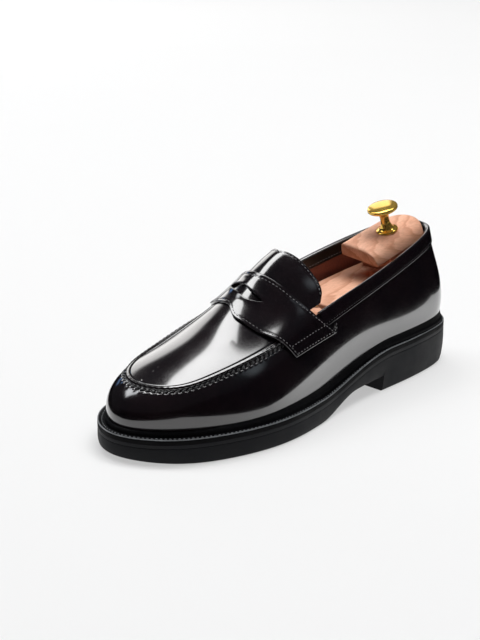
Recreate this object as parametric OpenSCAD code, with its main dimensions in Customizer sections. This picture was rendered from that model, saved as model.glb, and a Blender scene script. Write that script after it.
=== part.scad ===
// Penny loafer (left shoe) with its cedar shoe tree.
// +X is the outer side of the foot, -Y the toe, +Z up; the ground is z = 0.

/* [Leather] */
// Thickness of the upper leather
upper_th = 1.5; // [1.2:0.1:1.8]
// Thickness of the lining leather
lining_th = 0.9; // [0.7:0.1:1.1]
// Thickest part of the heel counter and of the toe puff
stiff_th = 1.0; // [0.6:0.1:1.2]
// Depth of the folded band round the topline
band_w = 9; // [7:0.5:11]
// Thickness of the saddle strap
strap_th = 1.6; // [1.4:0.1:2.2]
// Width of the raised bead round the apron
bead_w = 2.6; // [2:0.2:3.2]
// Height of the raised bead round the apron
bead_h = 1.5; // [1:0.1:2]

/* [Bottom] */
// Thickness of the welt
welt_th = 3; // [2.4:0.2:3.4]
// Height of the storm ridge above the welt
ridge_h = 3.4; // [2.4:0.2:4]
// Thickness of the midsole
midsole_th = 2.6; // [2:0.2:3.2]
// Height of the welt's upper face above the ground at the heel
heel_rim = 29.5; // [27.5:0.5:31]
// Height of the welt's upper face above the ground at the forefoot
fore_rim = 16.5; // [15.5:0.5:18]
// Distance of the heel breast from the back of the heel
breast_s = 92.5; // [88:0.5:96]
// Depth of the tread
tread_d = 2.2; // [1.4:0.2:3]
// Rise of the sole at the toe
toe_spring = 2.5; // [1:0.5:4]

/* [Shoe tree] */
// Radius of the outer tube
tube_r = 6; // [5.5:0.1:6.4]
// Radius of the inner tube
rod_r = 4.9; // [4.5:0.1:5.1]
// Running clearance on the radius of sliding pairs
run_fit = 0.06; // [0.03:0.01:0.1]
// Travel of the heel end towards the toe
tree_travel = 8; // [5:1:8]
// Width of the gap in the split forepart
split_gap = 3.4; // [3.2:0.2:4]
// Thickness of the stamped slab
slab_th = 13; // [11:0.5:14]
// Slope of the slab, rising to the heel
slab_tilt = 7.2; // [6:0.2:8.4]
// Slope of the heel block's top, rising to the heel
block_tilt = 15; // [13:0.5:17]
// Lean of the knob
knob_tilt = 16.2; // [14:0.2:18]
// Radius of the knob's cap
cap_r = 10.7; // [10:0.1:12]

/* [Hidden] */
shoe_l = 300;
x_mid = 1.2;          // the sole outline's middle, so the origin is central
N = 60;               // columns round the shoe
STEP = 20 / N;
JS = 18;              // first column of the apron and the vamp lining, under the strap
J_CUT = 0.16;         // how far before that column they start
GAP = 0.06;           // clear gap between layers

// Stations round the shoe, heel back first, then outer side, toe, inner side:
// feather line x s, top line x s z, lower bulge, upper bulge, upper rise, ridge x s.
// s is the distance forward of the heel's back.
ST = [
  [  0,   6.5,  -1,   14.5,  98,   7,   4.5, 26,   0,   150],
  [ 17,   12.5, 12,   20,    97.5, 7,   4.5, 26,   0,   150],
  [ 27,   34,   21,   38,    94.5, 6,   4,   26,   0,   150],
  [ 31,   69,   27,   69,    88,   5,   3,   24,   0,   150],
  [ 33,   106,  30.5, 103.5, 80.5, 5,   3.5, 20,   0,   152],
  [ 38,   145,  32.5, 137,   73.5, 5,   5,   16,   0,   154],
  [ 46,   184,  34,   172,   65.5, 4,   6.5, 12,  -1,   186],
  [ 48,   219,  35,   207,   58,   4,   9,   10,  -1.5, 210],
  [ 40,   250.5, 30.5, 243.5, 50.5, 4,  9,    7,  -2,   237],
  [ 24,   277.5, 20,  267.5, 45.5, 4.5, 9,    5,  -3,   254],
  [ -4,   292.5, -3,  277.5, 44.5, 5.5, 9.5,  4,  -3,   260],
  [-30,   277.5, -23.5, 266, 46.5, 7,   9,    5,  -3,   254],
  [-42,   250.5, -32, 238.5, 51,   6,   9,    7,  -2,   237],
  [-46,   219,  -35,  204.5, 59,   4,   9,   10,  -1.5, 210],
  [-41,   184,  -33.5, 171,  68,   5,   6.5, 14,  -1,   186],
  [-29,   145,  -31,  137,   76,   7,   5,   20,   0,   154],
  [-25,   106,  -29.5, 103.5, 83,  7,   2.5, 24,   0,   152],
  [-27,   69,   -26.5, 67,   90,   6,   2.5, 24,   0,   150],
  [-27,   34,   -22,  36.5,  95,   6,   4,   26,   0,   150],
  [-18,   12.5, -13.5, 19,   98,   7,   4.5, 26,   0,   150]];
// Sole outline at the same stations: x s
SOLE = [
  [ -1,   0],   [ 20.2, 8.5], [ 30.6, 33.2], [ 35.6, 69],   [ 38.3, 105],
  [ 44.3, 145], [ 53,   184], [ 54.5, 219],  [ 46.5, 253],  [ 29,   283.5],
  [ -4,   300], [-35,   284], [-48.5, 254],  [-52.5, 220],  [-46.5, 185],
  [-34,   145], [-30,   105], [-33,   69],   [-32,   33],   [-23,   8]];
// Height of the instep ridge: s z
RIDGE = [[140, 110.5], [160, 104.5], [180, 91.4], [200, 77.3], [220, 66], [240, 58.5],
         [260, 51], [277, 44], [290, 40]];

function unit(v) = v / max(norm(v), 1e-9);
function mix(a, b, f) = a * (1 - f) + b * f;
function clamp(v, lo, hi) = min(max(v, lo), hi);
function smooth(v) = let (u = clamp(v, 0, 1)) u * u * (3 - 2 * u);
function cat(a, b, c, d, f) =
  0.5 * (2 * b + (c - a) * f + (2 * a - 5 * b + 4 * c - d) * f * f
  + (3 * b - a - 3 * c + d) * f * f * f);
function around(list, t) =
  let (u = t - 20 * floor(t / 20), i = floor(u))
  cat(list[(i + 19) % 20], list[i % 20], list[(i + 1) % 20], list[(i + 2) % 20], u - i);
function ridge_i(s, i = 1) = i >= len(RIDGE) - 3 || s < RIDGE[i + 1][0] ? i : ridge_i(s, i + 1);
function ridge_z(s) =
  let (i = ridge_i(s), f = (s - RIDGE[i][0]) / (RIDGE[i + 1][0] - RIDGE[i][0]))
  cat(RIDGE[i - 1][1], RIDGE[i][1], RIDGE[i + 1][1], RIDGE[i + 2][1], f);
function rim_z(s) = mix(heel_rim, fore_rim, smooth((s - 80) / 85)) + 0.5 * pow(clamp((s - 200) / 100, 0, 1), 2);
function to_world(p) = [p[0] - x_mid, shoe_l / 2 - p[1], p[2]];

// Outward direction of the feather line in plan, in x s
function feather(t) = let (r = around(ST, t)) [r[0], r[1]];
function out2(t) = let (d = feather(t + 0.01) - feather(t - 0.01), u = unit(d)) [u[1], -u[0]];
function sole_out(t) =
  let (d = around(SOLE, t + 0.01) - around(SOLE, t - 0.01), u = unit(d)) [u[1], -u[0]];

// The outside of the upper: v 0 to 1 is the side wall, v 1 to 2 the top up to the ridge
function wall_pt(t, v) =
  let (r = around(ST, t), n = out2(t),
       f = [r[0], r[1], rim_z(r[1])], k = [r[2], r[3], r[4]], h = k[2] - f[2],
       c1 = f + [n[0] * r[5], n[1] * r[5], 0.42 * h],
       c2 = k + [n[0] * r[6], n[1] * r[6], -r[7]], w = 1 - v)
  to_world(w * w * w * f + 3 * v * w * w * c1 + 3 * v * v * w * c2 + v * v * v * k);
function top_pt(t, q) =
  let (r = around(ST, t), s = mix(r[3], r[9], q), x = mix(r[2], r[8], q),
       drop = ridge_z(r[3]) - r[4])
  to_world([x, s, ridge_z(s) - drop * pow(1 - q, 1.9)]);
function surf(t, v) = v <= 1 ? wall_pt(t, v) : top_pt(t, min(v - 1, 1));
function wall_n(t, v) =
  let (a = clamp(v - 0.01, 0, 0.98))
  unit(cross(wall_pt(t, a + 0.02) - wall_pt(t, a), wall_pt(t + 0.01, v) - wall_pt(t - 0.01, v)));
function top_n(t, q) =
  q > 0.97
  ? let (s = mix(around(ST, t)[3], around(ST, t)[9], q))
    unit([0, (ridge_z(s + 0.5) - ridge_z(s - 0.5)), 1])
  : unit(cross(top_pt(t, q + 0.01) - top_pt(t, q), top_pt(t + 0.01, q) - top_pt(t - 0.01, q)));
function seam_k(t) = smooth((5.2 - abs(t - 20 * floor(t / 20) - 10)) / 0.6);
function nrm(t, v) =
  abs(v - 1) < 0.03 ? unit(wall_n(t, 0.98) + seam_k(t) * top_n(t, 0.02))
  : v < 1 ? wall_n(t, v) : top_n(t, v - 1);
function off(t, v, d) = surf(t, v) + d * nrm(t, v);
// The same, straight between the columns, so that layers stay parallel
function offl(t, v, d) =
  let (i = floor(t / STEP + 1e-6), f = t / STEP - i)
  f < 1e-5 ? off(i * STEP, v, d) : mix(off(i * STEP, v, d), off((i + 1) * STEP, v, d), f);

// Rows up the side wall: welt, ridge, five even rows, band edge, bead edge, top
function pace(t) = let (r = around(ST, t)) 3 * norm([r[6], r[7]]);
function v_band(t) = 1 - band_w / (0.87 * pace(t));
function v_bead(t) = 1 - bead_w / (0.95 * pace(t));
function v_row(i, t) =
  i == 0 ? 0 : i == 1 ? 0.045 : i == 2 ? 0.09
  : i <= 7 ? mix(0.09, v_band(t), (i - 2) / 5)
  : i == 8 ? v_bead(t) : seam_k(t) > 0 ? 0.995 : 1;
// Rows over the top, from the seam to the ridge
V_TOP = [1.006, 1.12, 1.27, 1.44, 1.62, 1.81, 2];

// How much the stiffeners fill between upper and lining
function counter_k(t, v) =
  let (a = abs(t - 20 * round(t / 20)))
  smooth((3.6 - a) / 1.4) * smooth((v_band(t) + 0.02 - v) / 0.3);
function puff_k(t, v) = smooth((2.6 - abs(t - 20 * floor(t / 20) - 10)) / 0.9) * smooth((1.3 - v) / 0.5);
function stiff_k(t, v) = max(counter_k(t, v), puff_k(t, v));
function lining_d(t, v) = -upper_th - GAP - stiff_k(t, v) * stiff_th;

// A thin solid between two grids of points. state: 0 solid, 1 open, 2 no area
module sheet(p, q, state = function(i, j) 0, fold = false) {
  r = len(p); c = len(p[0]);
  st = function(i, j) (i < 0 || j < 0 || i > r - 2 || (j > c - 2 && !fold)) ? 1
    : j > c - 2 ? 2 : state(i, j);
  faces = [for (i = [0:r - 2], j = [0:c - 2]) if (st(i, j) == 0)
    let (a = i * c + j, b = a + 1, d = a + c, e = d + 1, m = r * c)
    each concat([[a, b, e], [a, e, d], [a + m, e + m, b + m], [a + m, d + m, e + m]],
      st(i - 1, j) == 1 ? [[b, a, a + m], [b, a + m, b + m]] : [],
      st(i + 1, j) == 1 ? [[d, e, e + m], [d, e + m, d + m]] : [],
      st(i, j - 1) == 1 ? [[a, d, d + m], [a, d + m, a + m]] : [],
      st(i, j + 1) == 1 ? [[e, b, b + m], [e, b + m, e + m]] : [])];
  polyhedron(concat([for (k = p) each k], [for (k = q) each k]), faces, convexity = 8);
}
// A solid from closed rings, one above another, capped by rungs across the shoe
module stack(rings) {
  n = len(rings[0]); h = n / 2; top = (len(rings) - 1) * n;
  side = [for (k = [0:len(rings) - 2], j = [0:n - 1])
    let (a = k * n + j, b = k * n + (j + 1) % n)
    each [[a, b, b + n], [a, b + n, a + n]]];
  caps = [for (j = [0:h - 1])
    let (l = j, l1 = j + 1, m = (n - j) % n, m1 = n - j - 1)
    each concat(l1 == m1 ? [] : [[top + l, top + l1, top + m1], [l, m1, l1]],
      l == m ? [] : [[top + l, top + m1, top + m], [l, m, m1]])];
  polyhedron([for (k = rings) each k], concat(side, caps), convexity = 8);
}
// A closed loop of one section
module loop_sweep(sec) {
  n = len(sec); m = len(sec[0]);
  polyhedron([for (k = sec) each k], [for (j = [0:n - 1], i = [0:m - 1])
    let (a = j * m + i, b = ((j + 1) % n) * m + i,
         d = j * m + (i + 1) % m, e = ((j + 1) % n) * m + (i + 1) % m)
    each [[a, b, e], [a, e, d]]], convexity = 8);
}
// A solid from open sections with the same number of points, capped at both ends
module loft(sec) {
  n = len(sec); m = len(sec[0]);
  side = [for (j = [0:n - 2], i = [0:m - 1])
    let (a = j * m + i, b = a + m, d = j * m + (i + 1) % m, e = d + m)
    each [[a, b, e], [a, e, d]]];
  caps = [for (i = [1:m - 2]) each [[0, i, i + 1], [(n - 1) * m, (n - 1) * m + i + 1, (n - 1) * m + i]]];
  polyhedron([for (k = sec) each k], concat(side, caps), convexity = 8);
}
module wall_sheet(j0, j1, i0, i1, d_out, d_in, e0 = 0, e1 = 0, g = 0) {
  grid = function(d) [for (i = [i0:i1]) [for (j = [j0:j1])
    let (t = STEP * j + (j == j0 ? e0 : j == j1 ? -e1 : 0),
         v = v_row(i, STEP * j) + (i == i1 ? -g : 0)) offl(t, v, d(t, v))]];
  sheet(grid(d_out), grid(d_in));
}
// Rings for the bottom: the sole outline or the feather line, moved in and given a height
function sole_ring(inset, z) = [for (j = [0:N - 1])
  let (t = STEP * j, p = around(SOLE, t) - inset * sole_out(t)) to_world([p[0], p[1], z(p[1])])];
function feather_ring(inset, z) = [for (j = [0:N - 1])
  let (t = STEP * j, p = feather(t) - inset * out2(t)) to_world([p[0], p[1], z(p[1])])];

// ---- bottom ----
sole_top = function(s) rim_z(s) - welt_th - midsole_th - 2 * GAP;
waist_h = 10.5;
spring_z = function(s) toe_spring * pow(clamp((s - 248) / 52, 0, 1), 2);
under_z = function(s) s < 120 ? waist_h - 1.2 * smooth((s - breast_s) / 50)
  : mix(under120(), 0, smooth((s - 120) / 46)) + spring_z(s);
function under120() = waist_h - 1.2 * smooth((120 - breast_s) / 50);

module outsole() color([0.07, 0.07, 0.08]) difference() {
  union() {
    stack([sole_ring(1.8, under_z), sole_ring(0.5, function(s) under_z(s) + 1.6),
           sole_ring(0, function(s) mix(under_z(s), sole_top(s), 0.55)),
           sole_ring(0.6, function(s) sole_top(s) - 0.5), sole_ring(1, sole_top)]);
    intersection() {
      stack([sole_ring(2.9, function(s) 0), sole_ring(1.6, function(s) 1.8),
             sole_ring(0.4, function(s) waist_h + 2), sole_ring(1.6, function(s) waist_h + 2.5)]);
      translate([-60, shoe_l / 2 - breast_s, -1]) cube([120, breast_s + 10, 30]);
    }
  }
  // cross grooves of the forefoot and of the heel
  for (k = [0:7]) translate([-x_mid - 34 + abs(k - 3) * 1.5, -30 - k * 11, -1])
    cube([68 - abs(k - 3) * 3, 3, tread_d + 1]);
  for (k = [0:3]) translate([-x_mid - 19, 74 + k * 15, -1]) cube([40, 3.4, tread_d + 1]);
  // small notches in the heel's lower edge, at the back
  for (k = [-3:3]) rotate([0, 0, k * 9]) translate([-1, 143 - abs(k) * 1.5, -1])
    cube([2, 12, tread_d + 0.6]);
}
module midsole() color([0.13, 0.12, 0.12])
  stack([sole_ring(0.7, function(s) rim_z(s) - welt_th - midsole_th - GAP),
         sole_ring(0.7, function(s) rim_z(s) - welt_th - GAP)]);
module welt() color([0.1, 0.1, 0.11])
  loop_sweep([for (j = [0:N - 1])
    let (t = STEP * j, f = feather(t), n = out2(t), o = around(SOLE, t) - 0.5 * sole_out(t),
         i2 = f - 4 * n, zi = rim_z(i2[1]), zo = rim_z(o[1]), e = unit(o - f),
         w1 = off(t, 0, GAP), w2 = off(t, 0.045, GAP), w3 = off(t, 0.09, GAP),
         lift = ridge_h - (w3[2] - rim_z(f[1])),
         en = [e[0], -e[1], 0], led = f + 3 * e, zl = rim_z(led[1]))
    [to_world([i2[0], i2[1], zi - welt_th]), to_world([o[0], o[1], zo - welt_th]),
     to_world([o[0], o[1], zo - 0.7]), to_world([o[0] - 0.7 * e[0], o[1] - 0.7 * e[1], zo]),
     to_world([led[0], led[1], zl]),
     w3 + 1.9 * en + [0, 0, lift - 0.9], w3 + 0.9 * en + [0, 0, lift],
     w3 + 0.1 * en + [0, 0, max(lift, 0) * 0.9], w2, w1 + [0, 0, -GAP],
     to_world([i2[0], i2[1], zi - GAP])]]);
shank_s = [for (k = [0:8]) 62 + k * 12];
module shank_strip(w, up, down, ends) loft([for (k = [0:8])
  let (s = shank_s[k] + (k == 0 ? -ends : k == 8 ? ends : 0), x = 4 + 2 * sin(k * 20) - x_mid, y = shoe_l / 2 - s,
       z = rim_z(s) - 0.4)
  [[x - w, y, z - down], [x + w, y, z - down], [x + w, y, z + up], [x - w, y, z + up]]]);
module cork_filler() color([0.62, 0.45, 0.3]) difference() {
  stack([feather_ring(4.1, function(s) rim_z(s) - welt_th), feather_ring(4.1, function(s) rim_z(s))]);
  shank_strip(7.15, 1, 1.45, 0.5);
}
module shank() color([0.6, 0.6, 0.62]) shank_strip(7, 0.3, 1.2, 0);
module insole() color([0.72, 0.55, 0.4])
  stack([feather_ring(4, function(s) rim_z(s) + GAP), feather_ring(3.8, function(s) rim_z(s) + 2.6)]);
module sock_liner() color([0.4, 0.12, 0.08])
  stack([feather_ring(3.9, function(s) rim_z(s) + 2.6 + GAP), feather_ring(3.9, function(s) rim_z(s) + 3.7)]);

// ---- upper ----
module side_wrap() color([0.05, 0.045, 0.05])
  wall_sheet(0, N, 0, 9, function(t, v) 0, function(t, v) -upper_th, 0.03, 0.03);
module backstay() color([0.06, 0.055, 0.06])
  wall_sheet(-1, 1, 2, 7, function(t, v) GAP + 0.8, function(t, v) GAP, 0.12, 0.12, 0.004);
// Rear edge of the strap: the column at each height of the side and top
function table(list, v, i = 0) =
  i >= len(list) - 2 || v < list[i + 1][0]
  ? mix(list[i][1], list[i + 1][1], smooth((v - list[i][0]) / (list[i + 1][0] - list[i][0])) * 0.5
      + clamp((v - list[i][0]) / (list[i + 1][0] - list[i][0]), 0, 1) * 0.5)
  : table(list, v, i + 1);
function strap_rear(v) = table([[0.64, 5.14], [1, 5.64], [1.2, 5.76], [1.5, 5.81], [1.8, 5.79], [2, 5.74]], v);
function strap_front(v) = table([[0.64, 6.32], [1, 6.68], [1.3, 6.87], [1.55, 6.9], [1.8, 6.85], [2, 6.6]], v);
// The inner side's front edge lies further back
function strap_inner(v) = table([[0.64, 6.04], [1, 6.4], [1.3, 6.58], [1.55, 6.62], [1.8, 6.62], [2, 6.6]], v);
module collar_band() color([0.05, 0.045, 0.05]) {
  grid = function(d) [for (i = [7:9]) [for (j = [-16:16])
    let (t = STEP * clamp(j, -15, 15), v = v_row(i, t),
         te = strap_rear(v_row(i, 5.2)) - 0.03)
    j == 16 ? offl(te, v_row(i, te), d) : j == -16 ? offl(-te, v_row(i, -te), d) : off(t, v, d)]];
  sheet(grid(0.85), grid(GAP));
}
function cross_t(t, i, m) = i <= m ? t : 20 - t;
module top_sheet(j0, d_out, d_in, with_wall) {
  half = concat(with_wall ? [for (i = [0:9]) i] : [], [for (k = [0:6]) 10 + k]);
  m = len(half) - 1;
  vv = function(i, t) half[i] < 10 ? v_row(half[i], t) : V_TOP[half[i] - 10];
  grid = function(d) [for (i = [0:2 * m]) [for (j = [j0:N / 2])
    let (a = i <= m ? i : 2 * m - i, c = STEP * j, e = c - (j == j0 ? J_CUT : 0), v = vv(a, cross_t(c, i, m)),
         t = cross_t(e, i, m)) offl(t, v, d(t, v))]];
  sheet(grid(d_out), grid(d_in), fold = true);
}
module apron() color([0.05, 0.045, 0.05])
  top_sheet(JS, function(t, v) 0, function(t, v) -upper_th, false);
module vamp_lining() color([0.55, 0.42, 0.34])
  top_sheet(JS, function(t, v) lining_d(t, v), function(t, v) lining_d(t, v) - lining_th, true);
module apron_bead() color([0.08, 0.075, 0.08]) {
  f = [0.1, 0.45, 0.9, 0.98];
  hgt = [0.35, 1, 0.8, 0.25];
  grid = function(o) [for (i = [0:3]) [for (j = [JS + 1:N - JS - 1])
    let (t = STEP * j, v = mix(v_bead(t), 0.995, f[i])) off(t, v, o ? GAP + bead_h * hgt[i] : GAP)]];
  sheet(grid(true), grid(false));
}
STRAP_V = [0.64, 0.73, 0.82, 0.91, 1, 1.1, 1.22, 1.34, 1.45, 1.55, 1.65, 1.77, 1.89, 2];
module saddle_strap() color([0.05, 0.045, 0.05]) {
  m = len(STRAP_V) - 1;
  lens = function(v) v <= 1.55 ? 0 : pow(sin(90 * (v - 1.55) / 0.45), 0.7);
  cols = function(v) let (g = lens(v), u = 0.42 - 0.1 * g, l = 0.42 + 0.12 * g)
    [0, u * 0.5, u, l, mix(l, 1, 0.35), mix(l, 1, 0.7), 1];
  grid = function(d) [for (i = [0:2 * m]) [for (j = [0:6])
    let (a = i <= m ? i : 2 * m - i, v = STRAP_V[a],
         t = mix(strap_rear(v), i > m ? strap_inner(v) : strap_front(v), cols(v)[j]),
         lift = 1.3 * smooth(1 - abs(v - 1) / 0.28))
    offl(cross_t(t, i, m), v, d + lift)]];
  sheet(grid(0.35 + strap_th), grid(0.35),
    state = function(i, j) j != 2 ? 0 : (i >= 9 && i < 2 * m - 9) ? 1 : 2);
}
TONGUE_V = [1.07, 1.14, 1.25, 1.4, 1.6, 1.8, 2];
module tongue_sheet(d1, d0, in) {
  m = len(TONGUE_V) - 1;
  rear = [5.4, 5.26, 5.19, 5.17, 5.17, 5.17, 5.17];
  grid = function(d) [for (i = [0:2 * m]) [for (j = [0:5])
    let (a = i <= m ? i : 2 * m - i, v = TONGUE_V[a] + (a == 0 ? in : 0),
         t = mix(rear[a] + in, strap_rear(v) - 0.02, j / 5))
    off(cross_t(t, i, m), v, d + 2 * smooth((1.5 - TONGUE_V[a]) / 0.35) * (1 - j / 5))]];
  sheet(grid(d1), grid(d0));
}
module tongue() color([0.05, 0.045, 0.05]) tongue_sheet(-0.1, -1.3, 0);
module tongue_lining() color([0.5, 0.4, 0.33]) tongue_sheet(-1.55, -2.25, 0.012);
module toe_puff() color([0.8, 0.78, 0.72]) {
  rows = [2, 3, 4, 5, 6, 7, 8, 9];
  grid = function(o) [for (i = rows) [for (j = [24:36])
    let (t = STEP * j, v = v_row(i, t) - (i == 9 ? 0.01 : 0))
    off(t, v, o ? -upper_th - GAP / 2 : -upper_th - GAP / 2 - stiff_k(t, v) * stiff_th * 0.94)]];
  sheet(grid(true), grid(false));
}
module heel_counter() color([0.75, 0.68, 0.58]) {
  grid = function(o) [for (i = [1:6]) [for (j = [-9:9])
    let (t = STEP * j, v = v_row(i, t))
    off(t, v, o ? -upper_th - GAP / 2 : -upper_th - GAP / 2 - stiff_k(t, v) * stiff_th * 0.94)]];
  sheet(grid(true), grid(false));
}
module quarter_lining() color([0.45, 0.13, 0.08])
  wall_sheet(-JS, JS, 0, 7, function(t, v) lining_d(t, v),
    function(t, v) lining_d(t, v) - lining_th, J_CUT + 0.02, J_CUT + 0.02, 0.004);
module topline_facing() color([0.08, 0.075, 0.08])
  wall_sheet(-JS, JS, 7, 9, function(t, v) lining_d(t, v),
    function(t, v) lining_d(t, v) - lining_th, J_CUT + 0.02, J_CUT + 0.02);

// ---- shoe tree ----
// Tube axis: through (s, z), sloping up to the heel with the slab
axis_s = 122; axis_z = 55.8;
module along_tube(s) translate([-x_mid, shoe_l / 2 - axis_s, axis_z]) rotate([slab_tilt, 0, 0])
  translate([0, axis_s - s, 0]) children();
fore_s = 131;       // rear face of the forepart
split_x = 8.2;        // the split, from the centre line
// Half width, bottom and top of the forepart along the shoe: s, inner x, outer x, bottom, top
FORE = [[131, -23, 27, 35, 64], [149.5, -25, 29, 30, 68], [165, -29, 33, 26, 72], [180, -33, 36.5, 24, 72],
        [200, -37, 40, 22.5, 64.5], [220, -38, 40, 22.2, 54.5], [240, -35.5, 36, 22.3, 46.5],
        [258, -29, 27.5, 22.6, 40], [272, -20, 15, 23.4, 35.5]];
// Section of the forepart: a flat bottom and a round back
function fore_pt(f, a) =
  let (w = a > 90 ? f[1] : f[2], c = pow(abs(cos(a)), 0.72), d = pow(abs(sin(a)), 0.8))
  [w * c, shoe_l / 2 - f[0], f[3] + 4 + (f[4] - f[3] - 4) * d];
module fore_half(x0, x1) intersection() {
  loft([for (f = FORE) concat([for (a = [0:15:180]) fore_pt(f, a) - [x_mid, 0, 0]],
    [[f[1] * 0.86 - x_mid, shoe_l / 2 - f[0], f[3]], [f[2] * 0.86 - x_mid, shoe_l / 2 - f[0], f[3]]])]);
  translate([x0 - x_mid, -150, 0]) cube([x1 - x0, 200, 100]);
}
pin_s = [172, 224]; pin_z = [40, 31]; pin_r = 2.5;
module cross_pin(k, r, x0, x1) translate([x0 - x_mid, shoe_l / 2 - pin_s[k], pin_z[k]])
  rotate([0, 90, 0]) cylinder(h = x1 - x0, r = r, $fn = 48);
module forepart_main() color([0.86, 0.68, 0.52]) difference() {
  fore_half(-60, split_x);
  along_tube(226) rotate([-90, 0, 0]) cylinder(h = 110, r = tube_r + 0.02, $fn = 64);
  for (k = [0, 1]) cross_pin(k, pin_r + 0.01, -8, split_x + 1);
}
module forepart_side() color([0.86, 0.68, 0.52]) difference() {
  fore_half(split_x + split_gap, 60);
  for (k = [0, 1]) cross_pin(k, pin_r + run_fit, split_x, 28);
}
module guide_pin_rear() color([0.7, 0.7, 0.72]) cross_pin(0, pin_r, -7.8, 24);
module guide_pin_front() color([0.7, 0.7, 0.72]) cross_pin(1, pin_r, -7.8, 24);
module outer_tube() color([0.85, 0.65, 0.2]) difference() {
  along_tube(225.5) rotate([-90, 0, 0]) cylinder(h = 225.5 - fore_s + 0.5, r = tube_r, $fn = 64);
  along_tube(223.5) rotate([-90, 0, 0]) cylinder(h = 110, r = rod_r + run_fit, $fn = 64);
}
module inner_tube() color([0.85, 0.65, 0.2])
  along_tube(190) rotate([-90, 0, 0]) cylinder(h = 90, r = rod_r, $fn = 64);
module slab() color([0.88, 0.66, 0.5]) difference() {
  translate([-x_mid, shoe_l / 2 - axis_s, axis_z]) rotate([slab_tilt, 0, 0])
    translate([0, 0, -slab_th / 2]) linear_extrude(slab_th)
    polygon(concat([[22.5, 0], [23.5, 20], [23.5, 58]],
      [for (a = [0:12:180]) [21.5 * cos(a), 76 + 21.5 * sin(a)]],
      [[-23.5, 58], [-23.5, 20], [-22.5, 0]]));
  along_tube(190) rotate([-90, 0, 0]) cylinder(h = 90.1, r = rod_r + 0.01, $fn = 64);
  stud_axis() translate([0, 0, -36.4]) cylinder(h = 60, r = 3.01, $fn = 48);
}
// Heel block frame: origin on the top surface under the knob
knob_s = 50.4; knob_z = 98.8; block_roll = 4.5;
module block_frame() translate([-x_mid, shoe_l / 2 - knob_s, knob_z]) rotate([block_tilt, block_roll, 0]) children();
// The knob leans further forward than the block; its flange sits in a shallow spot face
module stud_axis() translate([-x_mid, shoe_l / 2 - knob_s, knob_z]) rotate([knob_tilt, -2.4, 0])
  translate([0, 0, -0.6]) children();
// Outline of the block: outer half width, inner half width, length behind the knob,
// length before it, change of half width at the front, squareness of the outer rear corner
function block_outline(o, i, back, front, e, p) = concat(
  [[o + e, -front], [o + e * 0.45, -8], [o + e * 0.13, 4]],
  [for (a = [0:10:180]) let (c = cos(a), k = a < 90 ? p : 1)
    [(c < 0 ? i : o) * sign(c) * pow(abs(c), k), 9 + (back - 9) * pow(sin(a), k)]],
  [[-i - 0.4, 4], [-i - 0.9, -8], [-i - 1.4, -front]]);
// Layers of the block: height, then the outline's numbers
BLOCK = [[-10.5, 16.3, 15.8, 28.8, 29.5, 0, 0.85], [-7, 15.4, 15.8, 28.6, 29.8, 0, 0.85],
         [-3.8, 13.8, 15.5, 27.8, 29.8, -0.5, 0.8], [-1.9, 12, 14.8, 26.6, 29.8, -1.5, 0.75],
         [-0.7, 10, 13.2, 25.4, 29.3, -3, 0.7], [-0.1, 8, 11.5, 24, 27.8, -4.5, 0.65]];
module heel_block() color([0.88, 0.66, 0.5]) difference() {
  union() {
    block_frame() hull() for (b = BLOCK)
      translate([0, 0, b[0]]) linear_extrude(0.1) polygon(block_outline(b[1], b[2], b[3], b[4], b[5], b[6]));
    // foot of the block, down to the slab
    intersection() {
      block_frame() translate([0, 0, -34]) linear_extrude(30) polygon(block_outline(12, 14, 23, 12, 0.5, 1));
      translate([-x_mid, shoe_l / 2 - axis_s, axis_z]) rotate([slab_tilt, 0, 0])
        translate([-30, 46, slab_th / 2]) cube([60, 70, 50]);
    }
  }
  stud_axis() translate([0, 0, -60]) cylinder(h = 70, r = 3.01, $fn = 48);
  stud_axis() cylinder(h = 10, r = 8, $fn = 64);
}
module knob_stud() color([0.75, 0.6, 0.25])
  stud_axis() translate([0, 0, -36]) cylinder(h = 40.5, r = 3, $fn = 48);
module knob() color([0.9, 0.7, 0.2]) stud_axis() difference() {
  rotate_extrude($fn = 72) polygon([[0, 0], [7.5, 0], [7.8, 0.9], [7.2, 1.7], [5, 2.7], [4.1, 4],
    [3.9, 5.6], [3.1, 7.4], [3.1, 10.6], [4.2, 13.6], [6.4, 15.1], [cap_r - 1.2, 16.2], [cap_r - 0.2, 17], [cap_r, 18],
    [cap_r - 0.5, 19.1], [cap_r - 3, 19.7], [cap_r - 7, 20.1], [0, 20.3]]);
  translate([0, 0, -1]) cylinder(h = 5.6, r = 3.01, $fn = 48);
}

outsole();
midsole();
welt();
cork_filler();
shank();
insole();
sock_liner();
side_wrap();
backstay();
collar_band();
apron();
apron_bead();
saddle_strap();
tongue();
tongue_lining();
toe_puff();
heel_counter();
vamp_lining();
quarter_lining();
topline_facing();
forepart_main();
forepart_side();
guide_pin_rear();
guide_pin_front();
outer_tube();
inner_tube();
slab();
heel_block();
knob_stud();
knob();
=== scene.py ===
"""Looks of the penny loafer and its cedar tree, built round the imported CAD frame."""
import math

import bmesh
import bpy
import numpy as np
from mathutils import Matrix, Vector

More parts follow.
